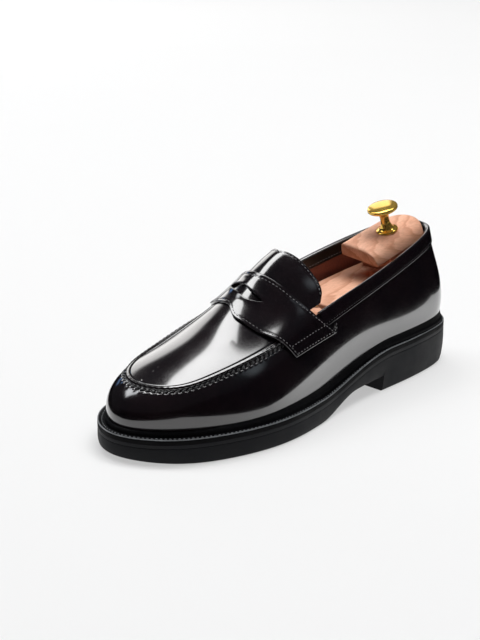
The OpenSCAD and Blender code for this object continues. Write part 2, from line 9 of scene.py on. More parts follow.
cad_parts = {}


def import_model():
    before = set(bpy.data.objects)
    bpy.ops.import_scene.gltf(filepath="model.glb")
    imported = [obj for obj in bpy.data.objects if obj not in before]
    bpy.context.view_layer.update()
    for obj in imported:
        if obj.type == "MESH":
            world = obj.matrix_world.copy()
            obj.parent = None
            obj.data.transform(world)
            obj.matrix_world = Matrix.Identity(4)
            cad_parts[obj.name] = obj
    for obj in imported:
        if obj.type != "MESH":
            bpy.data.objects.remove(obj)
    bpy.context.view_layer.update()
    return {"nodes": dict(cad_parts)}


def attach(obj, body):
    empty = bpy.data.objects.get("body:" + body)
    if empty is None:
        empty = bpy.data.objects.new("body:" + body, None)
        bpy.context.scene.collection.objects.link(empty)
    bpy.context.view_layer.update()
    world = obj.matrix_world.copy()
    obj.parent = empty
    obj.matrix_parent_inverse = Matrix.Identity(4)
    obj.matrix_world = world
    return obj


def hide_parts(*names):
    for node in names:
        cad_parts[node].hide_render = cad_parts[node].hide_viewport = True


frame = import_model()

MM = 0.001
X_MID, LENGTH = 1.2, 300.0
GAP = 0.06
UPPER, LINING, STIFF = 1.5, 0.9, 1.0
BAND_W, STRAP = 9.0, 1.6
WELT_TH, RIDGE_H, MIDSOLE = 3.0, 3.4, 2.6
HEEL_RIM, FORE_RIM, BREAST, TREAD, SPRING, WAIST = 29.5, 16.5, 92.5, 2.2, 2.5, 10.5
T_FRONT = 5.84           # where the apron and the vamp lining start, under the strap

# ---------------------------------------------------------------- the last
# 20 stations round the shoe, heel back first, then outer side, toe, inner side:
# feather x s, topline x s z, lower bulge, upper bulge, upper rise, ridge x s
ST = np.array([
    [0, 6.5, -1, 14.5, 98, 7, 4.5, 26, 0, 150],
    [17, 12.5, 12, 20, 97.5, 7, 4.5, 26, 0, 150],
    [27, 34, 21, 38, 94.5, 6, 4, 26, 0, 150],
    [31, 69, 27, 69, 88, 5, 3, 24, 0, 150],
    [33, 106, 30.5, 103.5, 80.5, 5, 3.5, 20, 0, 152],
    [38, 145, 32.5, 137, 73.5, 5, 5, 16, 0, 154],
    [46, 184, 34, 172, 65.5, 4, 6.5, 12, -1, 186],
    [48, 219, 35, 207, 58, 4, 9, 10, -1.5, 210],
    [40, 250.5, 30.5, 243.5, 50.5, 4, 9, 7, -2, 237],
    [24, 277.5, 20, 267.5, 45.5, 4.5, 9, 5, -3, 254],
    [-4, 292.5, -3, 277.5, 44.5, 5.5, 9.5, 4, -3, 260],
    [-30, 277.5, -23.5, 266, 46.5, 7, 9, 5, -3, 254],
    [-42, 250.5, -32, 238.5, 51, 6, 9, 7, -2, 237],
    [-46, 219, -35, 204.5, 59, 4, 9, 10, -1.5, 210],
    [-41, 184, -33.5, 171, 68, 5, 6.5, 14, -1, 186],
    [-29, 145, -31, 137, 76, 7, 5, 20, 0, 154],
    [-25, 106, -29.5, 103.5, 83, 7, 2.5, 24, 0, 152],
    [-27, 69, -26.5, 67, 90, 6, 2.5, 24, 0, 150],
    [-27, 34, -22, 36.5, 95, 6, 4, 26, 0, 150],
    [-18, 12.5, -13.5, 19, 98, 7, 4.5, 26, 0, 150]], float)
SOLE = np.array([
    [-1, 0], [20.2, 8.5], [30.6, 33.2], [35.6, 69], [38.3, 105], [44.3, 145], [53, 184],
    [54.5, 219],
    [46.5, 253], [29, 283.5], [-4, 300], [-35, 284], [-48.5, 254], [-52.5, 220],
    [-46.5, 185], [-34, 145], [-30, 105], [-33, 69], [-32, 33], [-23, 8]], float)
RIDGE = np.array([[140, 110.5], [160, 104.5], [180, 91.4], [200, 77.3], [220, 66],
                  [240, 58.5], [260, 51], [277, 44], [290, 40]], float)


class Ring:
    """A closed curve through evenly spaced stations, with even curvature."""

    def __init__(self, pts):
        n = len(pts)
        a = 4 * np.eye(n) + np.roll(np.eye(n), 1, 0) + np.roll(np.eye(n), -1, 0)
        self.p, self.n = pts, n
        self.m = np.linalg.solve(a, 6 * (np.roll(pts, -1, 0) - 2 * pts + np.roll(pts, 1, 0)))

    def __call__(self, t):
        t = np.asarray(t, float) % self.n
        i = np.floor(t).astype(int) % self.n
        f = (t - np.floor(t))[..., None]
        j, g = (i + 1) % self.n, 1 - f
        return (g * self.p[i] + f * self.p[j]
                + ((g ** 3 - g) * self.m[i] + (f ** 3 - f) * self.m[j]) / 6)


class Curve:
    """A smooth curve through (position, value) pairs."""

    def __init__(self, table):
        tab = np.array(table, float)
        x, y = tab[:, 0], tab[:, 1]
        n, h = len(x), np.diff(tab[:, 0])
        a, b = np.eye(n), np.zeros(n)
        for k in range(1, n - 1):
            a[k, k - 1:k + 2] = h[k - 1], 2 * (h[k - 1] + h[k]), h[k]
            b[k] = 6 * ((y[k + 1] - y[k]) / h[k] - (y[k] - y[k - 1]) / h[k - 1])
        self.x, self.y, self.m = x, y, np.linalg.solve(a, b)

    def __call__(self, v):
        v = np.asarray(v, float)
        k = np.clip(np.searchsorted(self.x, v, side="right") - 1, 0, len(self.x) - 2)
        h = self.x[k + 1] - self.x[k]
        f = (v - self.x[k]) / h
        g = 1 - f
        return (g * self.y[k] + f * self.y[k + 1]
                + ((g ** 3 - g) * self.m[k] + (f ** 3 - f) * self.m[k + 1]) * h * h / 6)


station, sole_curve, ridge_z = Ring(ST), Ring(SOLE), Curve(RIDGE)


def smooth(v):
    u = np.clip(v, 0, 1)
    return u * u * (3 - 2 * u)


def mix(a, b, f):
    return a * (1 - f) + b * f


def unit(v):
    return v / np.maximum(np.linalg.norm(v, axis=-1, keepdims=True), 1e-9)


def rim_z(s):
    return mix(HEEL_RIM, FORE_RIM,
               smooth((s - 80) / 85)) + 0.5 * np.clip((s - 200) / 100, 0, 1) ** 2


def world(x, s, z):
    return np.stack(np.broadcast_arrays(x - X_MID, LENGTH / 2 - s, z), -1)


def plan_out(curve, t):
    d = unit(curve(t + 0.01)[..., :2] - curve(t - 0.01)[..., :2])
    return np.stack([d[..., 1], -d[..., 0]], -1)


def wall_pt(t, v):
    t, v = np.broadcast_arrays(np.asarray(t, float), np.asarray(v, float))
    r, n = station(t), plan_out(station, t)
    f = np.stack([r[..., 0], r[..., 1], rim_z(r[..., 1])], -1)
    k = r[..., 2:5]
    h = k[..., 2] - f[..., 2]
    c1 = f + np.stack([n[..., 0] * r[..., 5], n[..., 1] * r[..., 5], 0.42 * h], -1)
    c2 = k + np.stack([n[..., 0] * r[..., 6], n[..., 1] * r[..., 6], -r[..., 7]], -1)
    v = v[..., None]
    w = 1 - v
    p = w ** 3 * f + 3 * v * w * w * c1 + 3 * v * v * w * c2 + v ** 3 * k
    return world(p[..., 0], p[..., 1], p[..., 2])


def top_pt(t, q):
    t, q = np.broadcast_arrays(np.asarray(t, float), np.asarray(q, float))
    r = station(t)
    s, x = mix(r[..., 3], r[..., 9], q), mix(r[..., 2], r[..., 8], q)
    drop = ridge_z(r[..., 3]) - r[..., 4]
    return world(x, s, ridge_z(s) - drop * np.clip(1 - q, 0, 2) ** 1.9)


def wall_n(t, v):
    a = np.clip(v - 0.01, 0, 0.98)
    return unit(np.cross(wall_pt(t, a + 0.02) - wall_pt(t, a),
                         wall_pt(t + 0.01, v) - wall_pt(t - 0.01, v)))


def top_n(t, q):
    t, q = np.broadcast_arrays(np.asarray(t, float), np.asarray(q, float))
    lo = np.minimum(q, 0.96)
    n = unit(np.cross(top_pt(t, lo + 0.01) - top_pt(t, lo),
                      top_pt(t + 0.01, lo) - top_pt(t - 0.01, lo)))
    s = mix(station(t)[..., 3], station(t)[..., 9], q)
    crest = unit(np.stack([0 * s, ridge_z(s + 0.5) - ridge_z(s - 0.5), 0 * s + 1], -1))
    return unit(mix(n, crest, smooth((q - 0.86) / 0.14)[..., None]))


def seam_k(t):
    return smooth((5.2 - np.abs(np.asarray(t) % 20 - 10)) / 0.6)


def surf(t, v):
    t, v = np.broadcast_arrays(np.asarray(t, float), np.asarray(v, float))
    return np.where((v <= 1)[..., None], wall_pt(t, np.minimum(v, 1)),
                    top_pt(t, np.clip(v - 1, 0, 1)))


def nrm(t, v):
    t, v = np.broadcast_arrays(np.asarray(t, float), np.asarray(v, float))
    a, b = wall_n(t, np.minimum(v, 0.98)), top_n(t, np.clip(v - 1, 0.02, 1))
    seam = unit(a + seam_k(t)[..., None] * b)
    low = mix(wall_n(t, np.minimum(v, 1)), seam, smooth((v - 0.9) / 0.1)[..., None])
    high = mix(b, seam, smooth((1.1 - v) / 0.1)[..., None])
    return unit(np.where((v <= 1)[..., None], low, high))


def off(t, v, d):
    return surf(t, v) + np.asarray(d, float)[..., None] * nrm(t, v)


def pace(t):
    r = station(t)
    return 3 * np.hypot(r[..., 6], r[..., 7])


def v_at(t, mm):
    """Height parameter a number of millimetres below the top edge of the wall."""
    return 1 - mm / (0.9 * pace(t))


def v_band(t):
    return 1 - BAND_W / (0.87 * pace(t))


def counter_k(t, v):
    a = np.abs(t - 20 * np.round(t / 20))
    return smooth((3.6 - a) / 1.4) * smooth((v_band(t) + 0.02 - v) / 0.3)


def puff_k(t, v):
    return smooth((2.6 - np.abs(np.asarray(t) % 20 - 10)) / 0.9) * smooth((1.3 - v) / 0.5)


def lining_d(t, v):
    return -UPPER - GAP - np.maximum(counter_k(t, v), puff_k(t, v)) * STIFF


def round_off(x, r):
    """How much a rounded edge falls away, x millimetres in from the edge."""
    return r - np.sqrt(np.maximum(r * r - (r - np.minimum(x, r)) ** 2, 0))


# ---------------------------------------------------------------- meshes
def link(name, data):
    ob = bpy.data.objects.new(name, data)
    bpy.context.scene.collection.objects.link(ob)
    return ob


def add_mesh(name, verts, faces, sharp=38, merge=0.0):
    me = bpy.data.meshes.new(name)
    me.from_pydata((np.asarray(verts, float) * MM).tolist(), [], faces)
    bm = bmesh.new()
    bm.from_mesh(me)
    if merge:
        bmesh.ops.remove_doubles(bm, verts=bm.verts, dist=merge * MM)
        bmesh.ops.dissolve_degenerate(bm, edges=bm.edges, dist=merge * 0.2 * MM)
    bmesh.ops.recalc_face_normals(bm, faces=bm.faces)
    finish_bm(bm, me, sharp)
    return link(name, me)


def finish_bm(bm, me, sharp):
    limit = math.radians(sharp)
    for f in bm.faces:
        f.smooth = True
    for e in bm.edges:
        if len(e.link_faces) == 2:
            e.smooth = e.calc_face_angle(0) < limit
    bm.to_mesh(me)
    bm.free()


def resharpen(ob, sharp=38):
    bm = bmesh.new()
    bm.from_mesh(ob.data)
    finish_bm(bm, ob.data, sharp)


def shell(name, outer, inner, is_open=None, merge=0.002, sharp=38):
    """A thin solid between two grids; is_open marks cells that are holes."""
    r, c = outer.shape[:2]
    cell = np.zeros((r - 1, c - 1), bool) if is_open is None else is_open
    pad = np.ones((r + 1, c + 1), bool)
    pad[1:-1, 1:-1] = cell
    m, faces = r * c, []
    for i in range(r - 1):
        for j in range(c - 1):
            if cell[i, j]:
                continue
            a = i * c + j
            b, d, e = a + 1, a + c, a + c + 1
            faces += [(a, b, e, d), (a + m, d + m, e + m, b + m)]
            if pad[i, j + 1]:
                faces.append((b, a, a + m, b + m))
            if pad[i + 2, j + 1]:
                faces.append((d, e, e + m, d + m))
            if pad[i + 1, j]:
                faces.append((a, d, d + m, a + m))
            if pad[i + 1, j + 2]:
                faces.append((e, b, b + m, e + m))
    verts = np.concatenate([outer.reshape(-1, 3), inner.reshape(-1, 3)])
    return add_mesh(name, verts, faces, sharp, merge)


def rounded(sec, radii, k=3):
    """Sections (columns, points, 3) with their corners rounded to these radii."""
    out, m = [], sec.shape[1]
    for i in range(m):
        p, r = sec[:, i], radii[i]
        if r <= 0:
            out.append(p)
            continue
        a, b = sec[:, i - 1] - p, sec[:, (i + 1) % m] - p
        la, lb = np.linalg.norm(a, axis=-1), np.linalg.norm(b, axis=-1)
        ra, rb = np.minimum(r, la * 0.48)[:, None], np.minimum(r, lb * 0.48)[:, None]
        p0, p2 = p + unit(a) * ra, p + unit(b) * rb
        for f in np.linspace(0, 1, k + 1):
            out.append((1 - f) ** 2 * p0 + 2 * f * (1 - f) * p + f * f * p2)
    return np.stack(out, 1)


def sweep(name, sec, closed=True, sharp=38, merge=0.0):
    """A solid through closed sections, round a loop or with capped ends."""
    n, m = sec.shape[:2]
    faces = []
    for j in range(n if closed else n - 1):
        for i in range(m):
            a, b = j * m + i, ((j + 1) % n) * m + i
            d, e = j * m + (i + 1) % m, ((j + 1) % n) * m + (i + 1) % m
            faces.append((a, b, e, d))
    if not closed:
        faces += [tuple(range(m)), tuple(range((n - 1) * m, n * m))]
    return add_mesh(name, sec.reshape(-1, 3), faces, sharp, merge)


def stack(name, rings, sharp=38):
    """A solid from closed rings one above another, capped by rungs across."""
    n, k = rings[0].shape[0], len(rings)
    faces = [(i * n + j, i * n + (j + 1) % n, (i + 1) * n + (j + 1) % n, (i + 1) * n + j)
             for i in range(k - 1) for j in range(n)]
    for base in (0, (k - 1) * n):
        for j in range(n // 2):
            ids = [base + j, base + j + 1, base + n - j - 1, base + (n - j) % n]
            ids = list(dict.fromkeys(ids))
            if len(ids) > 2:
                faces.append(tuple(ids))
    return add_mesh(name, np.concatenate(rings), faces, sharp)


def apply_modifiers(ob):
    dg = bpy.context.evaluated_depsgraph_get()
    me = bpy.data.meshes.new_from_object(ob.evaluated_get(dg))
    ob.modifiers.clear()
    ob.data = me


def boolean(ob, other, operation):
    mod = ob.modifiers.new("cut", "BOOLEAN")
    mod.operation, mod.object = operation, other
    mod.solver = "EXACT"
    apply_modifiers(ob)
    bpy.data.objects.remove(other)


def bevel(ob, width, segments=3, angle=30):
    mod = ob.modifiers.new("edge", "BEVEL")
    mod.width, mod.segments, mod.limit_method = width * MM, segments, "ANGLE"
    mod.angle_limit, mod.harden_normals = math.radians(angle), False
    mod.use_clamp_overlap = True
    apply_modifiers(ob)
    resharpen(ob, 50)


def place(ob, material, body, replaces=()):
    ob.data.materials.clear()
    ob.data.materials.append(material)
    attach(ob, body)
    if replaces:
        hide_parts(*replaces)
    return ob


# ---------------------------------------------------------------- stitches
def resample(points, normals, pitch, closed=False):
    """Even steps along a dense line; returns positions, directions and normals."""
    p = np.concatenate([points, points[:1]]) if closed else points
    q = np.concatenate([normals, normals[:1]]) if closed else normals
    arc = np.concatenate([[0], np.cumsum(np.linalg.norm(np.diff(p, axis=0), axis=1))])
    count = max(int(arc[-1] / pitch), 1)
    at = (np.arange(count) + 0.5) * arc[-1] / count
    pos = np.stack([np.interp(at, arc, p[:, k]) for k in range(3)], 1)
    nor = unit(np.stack([np.interp(at, arc, q[:, k]) for k in range(3)], 1))
    ahead = np.stack([np.interp(np.minimum(at + 0.3, arc[-1]), arc, p[:, k]) for k in range(3)], 1)
    behind = np.stack([np.interp(np.maximum(at - 0.3, 0), arc, p[:, k]) for k in range(3)], 1)
    return pos, unit(ahead - behind), nor


def row(t, v, d, stitch):
    """One row of stitches, d mm off the surface."""
    return (off(t, v, d), nrm(t, v), *stitch)


RNG = np.random.default_rng(7)


def stitch_rows(name, rows, material, body):
    """Each row: line, normals, pitch, length, radius, slant in degrees, sink in mm, closed."""
    rings, around_n = 7, 8
    verts, faces = [], []
    for line, nor, pitch, length, radius, slant, sink, closed in rows:
        pos, along, up = resample(line, nor, pitch, closed)
        side = unit(np.cross(up, along))
        for k in range(len(pos)):
            ang = math.radians(slant + RNG.normal(0, 1.6))
            a = along[k] * math.cos(ang) + side[k] * math.sin(ang)
            b = unit(np.cross(up[k], a))
            n0 = len(verts)
            half = length / 2 * (1 + RNG.normal(0, 0.03))
            for i in range(rings):
                f = -1 + 2 * i / (rings - 1)
                w = radius * (1 - abs(f) ** 3.2) ** 0.5 * 0.98 + 0.02 * radius
                dip = -radius * 0.9 * abs(f) ** 3
                for j in range(around_n):
                    g = 2 * math.pi * j / around_n
                    # two plies twisted round each other
                    ply = 1 + 0.10 * math.cos(2 * g + 5 * f)
                    verts.append(pos[k] + a * half * f + b * w * ply * math.cos(g)
                                 + up[k] * (w * ply * math.sin(g) + dip + radius - sink))
            for i in range(rings - 1):
                for j in range(around_n):
                    p, q = n0 + i * around_n + j, n0 + i * around_n + (j + 1) % around_n
                    faces.append((p, q, q + around_n, p + around_n))
            faces.append(tuple(n0 + j for j in range(around_n)))
            faces.append(tuple(n0 + (rings - 1) * around_n + j for j in range(around_n)))
    ob = add_mesh(name, np.array(verts), faces, 60)
    return place(ob, material, body)


# ---------------------------------------------------------------- materials
class Nodes:
    """A small helper that adds nodes to a material and links them."""

    def __init__(self, name):
        self.mat = bpy.data.materials.new(name)
        self.mat.use_nodes = True
        self.tree = self.mat.node_tree
        self.bsdf = self.tree.nodes["Principled BSDF"]

    def add(self, kind, **inputs):
        n = self.tree.nodes.new("ShaderNode" + kind)
        for key, value in inputs.items():
            self.put(n, key, value)
        return n

    def put(self, node, key, value):
        """A node's property, or its socket by name or as i0, i1, and so on."""
        linked = isinstance(value, bpy.types.NodeSocket)
        if not linked and key.islower() and key in node.bl_rna.properties:
            setattr(node, key, value)
            return
        numbered = key[0] == "i" and key[1:].isdigit()
        socket = node.inputs[int(key[1:]) if numbered else key.replace("_", " ")]
        if linked:
            self.tree.links.new(value, socket)
        else:
            socket.default_value = value

    def set(self, key, value):
        self.put(self.bsdf, key, value)

    def coords(self, scale=(1, 1, 1), turn=(0, 0, 0)):
        c = self.add("TexCoord")
        m = self.add("Mapping", Vector=c.outputs["Object"], Scale=scale, Rotation=turn)
        return m.outputs[0]

    def noise(self, vec, scale, detail=3.0, rough=0.55, distort=0.0):
        n = self.add("TexNoise", Vector=vec, Scale=scale, Detail=detail, Roughness=rough,
                     Distortion=distort)
        return n.outputs[0]

    def ramp(self, fac, stops):
        n = self.add("ValToRGB", Fac=fac)
        e = n.color_ramp.elements
        while len(e) < len(stops):
            e.new(0.5)
        for k, (pos, col) in enumerate(stops):
            e[k].position = pos
            e[k].color = (*col, 1) if isinstance(col, tuple) else (col, col, col, 1)
        return n.outputs[0]

    def math(self, op, a, b=0.0):
        n = self.add("Math", operation=op)
        self.put(n, "i0", a)
        self.put(n, "i1", b)
        return n.outputs[0]

    def blend(self, fac, a, b, kind="MIX"):
        n = self.add("MixRGB", blend_type=kind)
        self.put(n, "i0", fac)
        for key, c in (("i1", a), ("i2", b)):
            self.put(n, key, c if isinstance(c, bpy.types.NodeSocket) else (*c, 1))
        return n.outputs[0]

    def uneven(self, value, low, high, start=0.0, end=1.0):
        """Roughness from low to high as the value goes from start to end."""
        n = self.add("MapRange", Value=value, i1=start, i2=end, i3=low, i4=high)
        self.set("Roughness", n.outputs[0])

    def bump(self, layers):
        """Layers of (height, strength, distance in mm), one over another."""
        last = None
        for height, strength, dist in layers:
            n = self.add("Bump", Height=height, Strength=strength, Distance=dist * MM)
            if last is not None:
                self.put(n, "Normal", last)
            last = n.outputs[0]
        self.set("Normal", last)


def leather(name, dark, light, rough, coat, coat_rough, grain, grain_mm=0.7, wave=0.05, spec=0.5,
            specks=None):
    """Full-grain leather: pores and creases, uneven dye, uneven polish."""
    k = Nodes(name)
    co = k.coords()
    dye = k.noise(co, 28, 4, 0.6)
    fine = k.noise(co, 420, 3, 0.6)
    col = k.blend(k.ramp(dye, [(0.3, 0.0), (0.75, 1.0)]), dark, light)
    col = k.blend(k.math("MULTIPLY", k.ramp(fine, [(0.45, 0.0), (0.8, 1.0)]), 0.35), col,
                  specks or tuple(c * 1.7 for c in light))
    k.set("Base Color", col)
    k.uneven(k.noise(co, 60, 3, 0.6), rough * 0.8, rough * 1.3, 0.3, 0.75)
    cells = k.add("TexVoronoi", Vector=co, Scale=1000 / grain_mm, feature="SMOOTH_F1").outputs[0]
    pores = k.noise(co, 1000 / grain_mm * 0.45, 4, 0.62)
    ripple = k.noise(co, 75, 2, 0.5)
    k.bump([(ripple, 1.0, wave), (pores, 1.0, grain * 0.9), (cells, 1.0, grain * 0.7)])
    k.set("Specular IOR Level", spec)
    k.set("IOR", 1.5)
    k.set("Coat Weight", coat)
    k.set("Coat Roughness", coat_rough)
    k.set("Coat IOR", 1.55)
    return k.mat


def suede_like(name, dark, light, rough=0.6, grain=0.06):
    """Matt lining leather with pores, rub marks and a little sheen."""
    k = Nodes(name)
    co = k.coords()
    rub = k.noise(k.coords(scale=(1, 0.35, 1)), 60, 4, 0.65)
    pores = k.noise(co, 900, 4, 0.65)
    col = k.blend(k.ramp(rub, [(0.3, 0.0), (0.7, 1.0)]), dark, light)
    k.set("Base Color", k.blend(k.ramp(pores, [(0.35, 0.45), (0.6, 0.0)]), col,
                                tuple(c * 0.5 for c in dark)))
    k.uneven(rub, rough * 0.85, rough * 1.15, 0.3, 0.7)
    cells = k.add("TexVoronoi", Vector=co, Scale=1300, feature="SMOOTH_F1").outputs[0]
    k.bump([(pores, 1.0, grain), (cells, 1.0, grain * 0.8)])
    k.set("Sheen Weight", 0.12)
    k.set("Sheen Roughness", 0.4)
    k.set("Specular IOR Level", 0.4)
    return k.mat


def rubber(name, dark, light, rough=0.5, spec=0.2):
    k = Nodes(name)
    co = k.coords()
    cloud = k.noise(co, 45, 4, 0.6)
    grit = k.noise(co, 1800, 3, 0.6)
    scuff = k.noise(k.coords(scale=(1, 1, 6)), 90, 5, 0.7)
    col = k.blend(k.ramp(cloud, [(0.35, 0.0), (0.7, 1.0)]), dark, light)
    k.set("Base Color", k.blend(k.ramp(scuff, [(0.62, 0.0), (0.8, 0.25)]), col,
                                tuple(c * 2.2 for c in light)))
    k.uneven(cloud, rough * 0.85, rough * 1.2, 0.3, 0.7)
    k.bump([(cloud, 1.0, 0.12), (grit, 1.0, 0.05)])
    k.set("Specular IOR Level", spec)
    return k.mat


def thread(name, dark, light, rough=0.42):
    k = Nodes(name)
    co = k.coords()
    ply = k.add("TexWave", Vector=k.coords(turn=(0.6, 0.5, 0.7)), Scale=900.0, Distortion=2.0,
                Detail=2.0).outputs[1]
    k.set("Base Color", k.blend(ply, dark, light))
    k.uneven(k.noise(co, 900, 2), rough * 0.8, rough * 1.3)
    k.bump([(ply, 1.0, 0.05)])
    k.set("Sheen Weight", 0.2)
    return k.mat


def cedar(name, origin=(0, 0, 0), turn=(0, 0, 0), seed=0.0, tint=(1, 1, 1)):
    """Sanded aromatic cedar: growth rings stretched along the grain, fibres, streaks."""
    k = Nodes(name)
    c = k.add("TexCoord")
    m = k.add("Mapping", Vector=c.outputs["Object"], Rotation=turn,
              Location=(origin[0] + seed, origin[1], origin[2]))
    base = m.outputs[0]
    stretch = k.add("Mapping", Vector=base, Scale=(1, 0.09, 1)).outputs[0]
    warp = k.noise(stretch, 26, 3, 0.5)
    rings = k.add("TexWave", Vector=stretch, Scale=58.0, Distortion=7.0, Detail=3.0,
                  wave_type="BANDS",
                  bands_direction="DIAGONAL", wave_profile="SAW")
    k.put(rings, "Detail Scale", 1.2)
    k.put(rings, "Detail Roughness", 0.6)
    fibre = k.noise(k.add("Mapping", Vector=base, Scale=(1, 0.03, 1)).outputs[0], 900, 4, 0.6)
    streak = k.noise(k.add("Mapping", Vector=base, Scale=(1, 0.05, 1)).outputs[0], 110, 3, 0.6)
    shade = tuple(a * b for a, b in zip((0.50, 0.22, 0.125), tint))
    pale = tuple(a * b for a, b in zip((0.82, 0.48, 0.335), tint))
    red = tuple(a * b for a, b in zip((0.62, 0.27, 0.155), tint))
    col = k.blend(k.ramp(rings.outputs[1], [(0.0, 0.0), (0.55, 0.22), (0.9, 0.85), (1.0, 0.15)]),
                  pale, shade)
    col = k.blend(k.ramp(warp, [(0.35, 0.0), (0.7, 0.55)]), col, red)
    col = k.blend(k.ramp(streak, [(0.48, 0.0), (0.72, 0.55)]), col, shade)
    col = k.blend(k.ramp(fibre, [(0.3, 0.28), (0.6, 0.0)]), col, tuple(c * 0.6 for c in shade))
    k.set("Base Color", col)
    k.uneven(fibre, 0.42, 0.66)
    k.bump([(rings.outputs[1], 1.0, 0.03), (fibre, 1.0, 0.05)])
    k.set("Specular IOR Level", 0.35)
    return k.mat


def metal(name, colour, rough, scratch=0.006, wave=0.02, smudge=0.5, metallic=1.0):
    k = Nodes(name)
    co = k.coords()
    cloud = k.noise(co, 130, 4, 0.6)
    fine = k.noise(k.coords(scale=(1, 1, 14)), 700, 3, 0.6)
    k.set("Base Color", k.blend(k.ramp(cloud, [(0.3, 0.0), (0.75, 1.0)]), colour,
                                tuple(c * 0.86 for c in colour)))
    k.uneven(cloud, rough * (1 - smudge * 0.4), rough * (1 + smudge), 0.3, 0.75)
    k.bump([(cloud, 1.0, wave), (fine, 1.0, scratch)])
    k.set("Metallic", metallic)
    return k.mat


def granular(name, dark, light, grain, rough=0.8):
    k = Nodes(name)
    cells = k.add("TexVoronoi", Vector=k.coords(), Scale=grain)
    k.set("Base Color", k.blend(k.ramp(cells.outputs[0], [(0.1, 0.0), (0.6, 1.0)]), light, dark))
    k.set("Roughness", rough)
    k.bump([(cells.outputs[0], 1.0, 0.15)])
    return k.mat


UPPER_MAT = leather("upper_leather", (0.0025, 0.0022, 0.0035), (0.009, 0.005, 0.0065),
                    0.16, 1.0, 0.045, 0.012, 0.8, 0.035, spec=0.7)
# the welt's outer lip gets a lighter grey than the welt: a painted highlight, not the edge's own
# colour
WELT_EDGE_HIGHLIGHT_MAT = leather("welt_edge_painted_highlight", (0.09, 0.095, 0.10), (0.17, 0.18, 0.19),
                   0.45, 0.0, 0.3, 0.02, 0.5, 0.02)
FACING_MAT = leather("facing_leather", (0.004, 0.0035, 0.0035), (0.010, 0.008, 0.008),
                     0.4, 0.0, 0.3, 0.03, 0.6, spec=0.3)
WELT_MAT = leather("welt_leather", (0.002, 0.002, 0.0024), (0.005, 0.005, 0.0058),
                   0.6, 0.0, 0.3, 0.03, 0.6, spec=0.06)
MIDSOLE_MAT = rubber("sole_edge", (0.0036, 0.0039, 0.0052), (0.0072, 0.0077, 0.0102), 0.5, 0.2)
SOLE_MAT = rubber("sole_rubber", (0.0034, 0.0037, 0.005), (0.0068, 0.0074, 0.0098), 0.55, 0.18)
LINING_MAT = suede_like("lining_leather", (0.15, 0.035, 0.02), (0.24, 0.065, 0.035))
SOCK_MAT = suede_like("sock_leather", (0.12, 0.03, 0.018), (0.2, 0.055, 0.03))
TAN_MAT = suede_like("tan_lining", (0.26, 0.16, 0.10), (0.40, 0.26, 0.17))
INSOLE_MAT = suede_like("insole_leather", (0.42, 0.27, 0.16), (0.58, 0.40, 0.26))
THREAD_MAT = thread("upper_thread", (0.07, 0.07, 0.072), (0.24, 0.235, 0.24))
APRON_THREAD = thread("apron_thread", (0.008, 0.008, 0.009), (0.035, 0.035, 0.037), 0.3)
WELT_THREAD = thread("welt_thread", (0.06, 0.065, 0.07), (0.22, 0.235, 0.245))
WOOD_MAT = cedar("cedar_slab", turn=(0.12, 0.06, 0.02))
BLOCK_MAT = cedar("cedar_block", turn=(0.26, 0.10, 0.05), seed=0.37)
FORE_MAT = cedar("cedar_forepart", turn=(-0.2, 0.0, 0.03), seed=0.81)
BRASS_MAT = metal("knob_brass", (1.0, 0.64, 0.13), 0.11, 0.004, 0.01, metallic=0.8)
TUBE_MAT = metal("tube_brass", (0.80, 0.56, 0.22), 0.24, 0.01)
STEEL_MAT = metal("pin_steel", (0.56, 0.56, 0.58), 0.25, 0.01)
CORK_MAT = granular("cork_filler", (0.30, 0.18, 0.09), (0.62, 0.45, 0.28), 520)
BOARD_MAT = granular("stiffener_board", (0.48, 0.40, 0.30), (0.68, 0.60, 0.48), 1400)

# ---------------------------------------------------------------- upper
COLS = 400
TT = np.arange(COLS) * 20 / COLS


def arc_phase(t, v, pitch):
    """Running count of stitches along the apron seam."""
    tt = np.linspace(5, 15, 2001)
    p = surf(tt, np.full_like(tt, v))
    arc = np.concatenate([[0], np.cumsum(np.linalg.norm(np.diff(p, axis=0), axis=1))])
    return np.interp(t, tt, arc) / pitch


# stitches in mm: pitch, length, radius, slant in degrees, sink, closed row
SEAM_PITCH = 3.85
APRON_STITCH = (SEAM_PITCH, 3.9, 0.62, 30, 0.35, False)
FACING_STITCH = (2.6, 1.9, 0.2, 0, 0.12, False)
BAND_STITCH = (2.7, 1.8, 0.2, 0, 0.24, False)
BACKSTAY_STITCH = (2.7, 2.0, 0.24, 0, 0.12, False)
STRAP_STITCH = (2.7, 1.7, 0.3, 0, 0.16, False)
END_STITCH = (2.8, 1.5, 0.3, 0, 0.12, False)
TACK_STITCH = (2.1, 1.9, 0.3, 20, 0.0, False)
TONGUE_STITCH = (2.7, 1.7, 0.28, 0, 0.14, False)
WELT_STITCH = (2.8, 1.7, 0.38, 0, 0.3, True)
ROW_IN = 1.9             # from an edge to its row of stitches
STATION_MM = 34.5        # length of one station at the strap
BACKSTAY_HALF = 17       # half width of the backstay at its foot
STRAP_END = 0.64         # height parameter of the strap's ends
STRAP_GAP = 0.35         # the strap's underside above the leather below it
END_ROWS = (1.4, 6.6)    # the two rows across each strap end, from the end
TUCK = 0.12              # stations of the tongue under the strap


def pucker(t, v):
    """Gathers that the apron stitches pull into the wall below the bead."""
    below = (1 - v) * 0.92 * pace(t)
    ph = 2 * np.pi * (arc_phase(t, 0.97, SEAM_PITCH) - 0.17 * below)
    lip = 4.9 + 0.35 * np.cos(ph)
    dent = smooth((lip - below) / 0.8) * (0.30 + 0.22 * np.cos(ph))
    fold = 0.17 * np.exp(-((below - lip - 0.4) / 0.6) ** 2) * (0.6 + 0.4 * np.cos(ph))
    return seam_k(np.clip(t, 0, 20)) * (fold - dent)


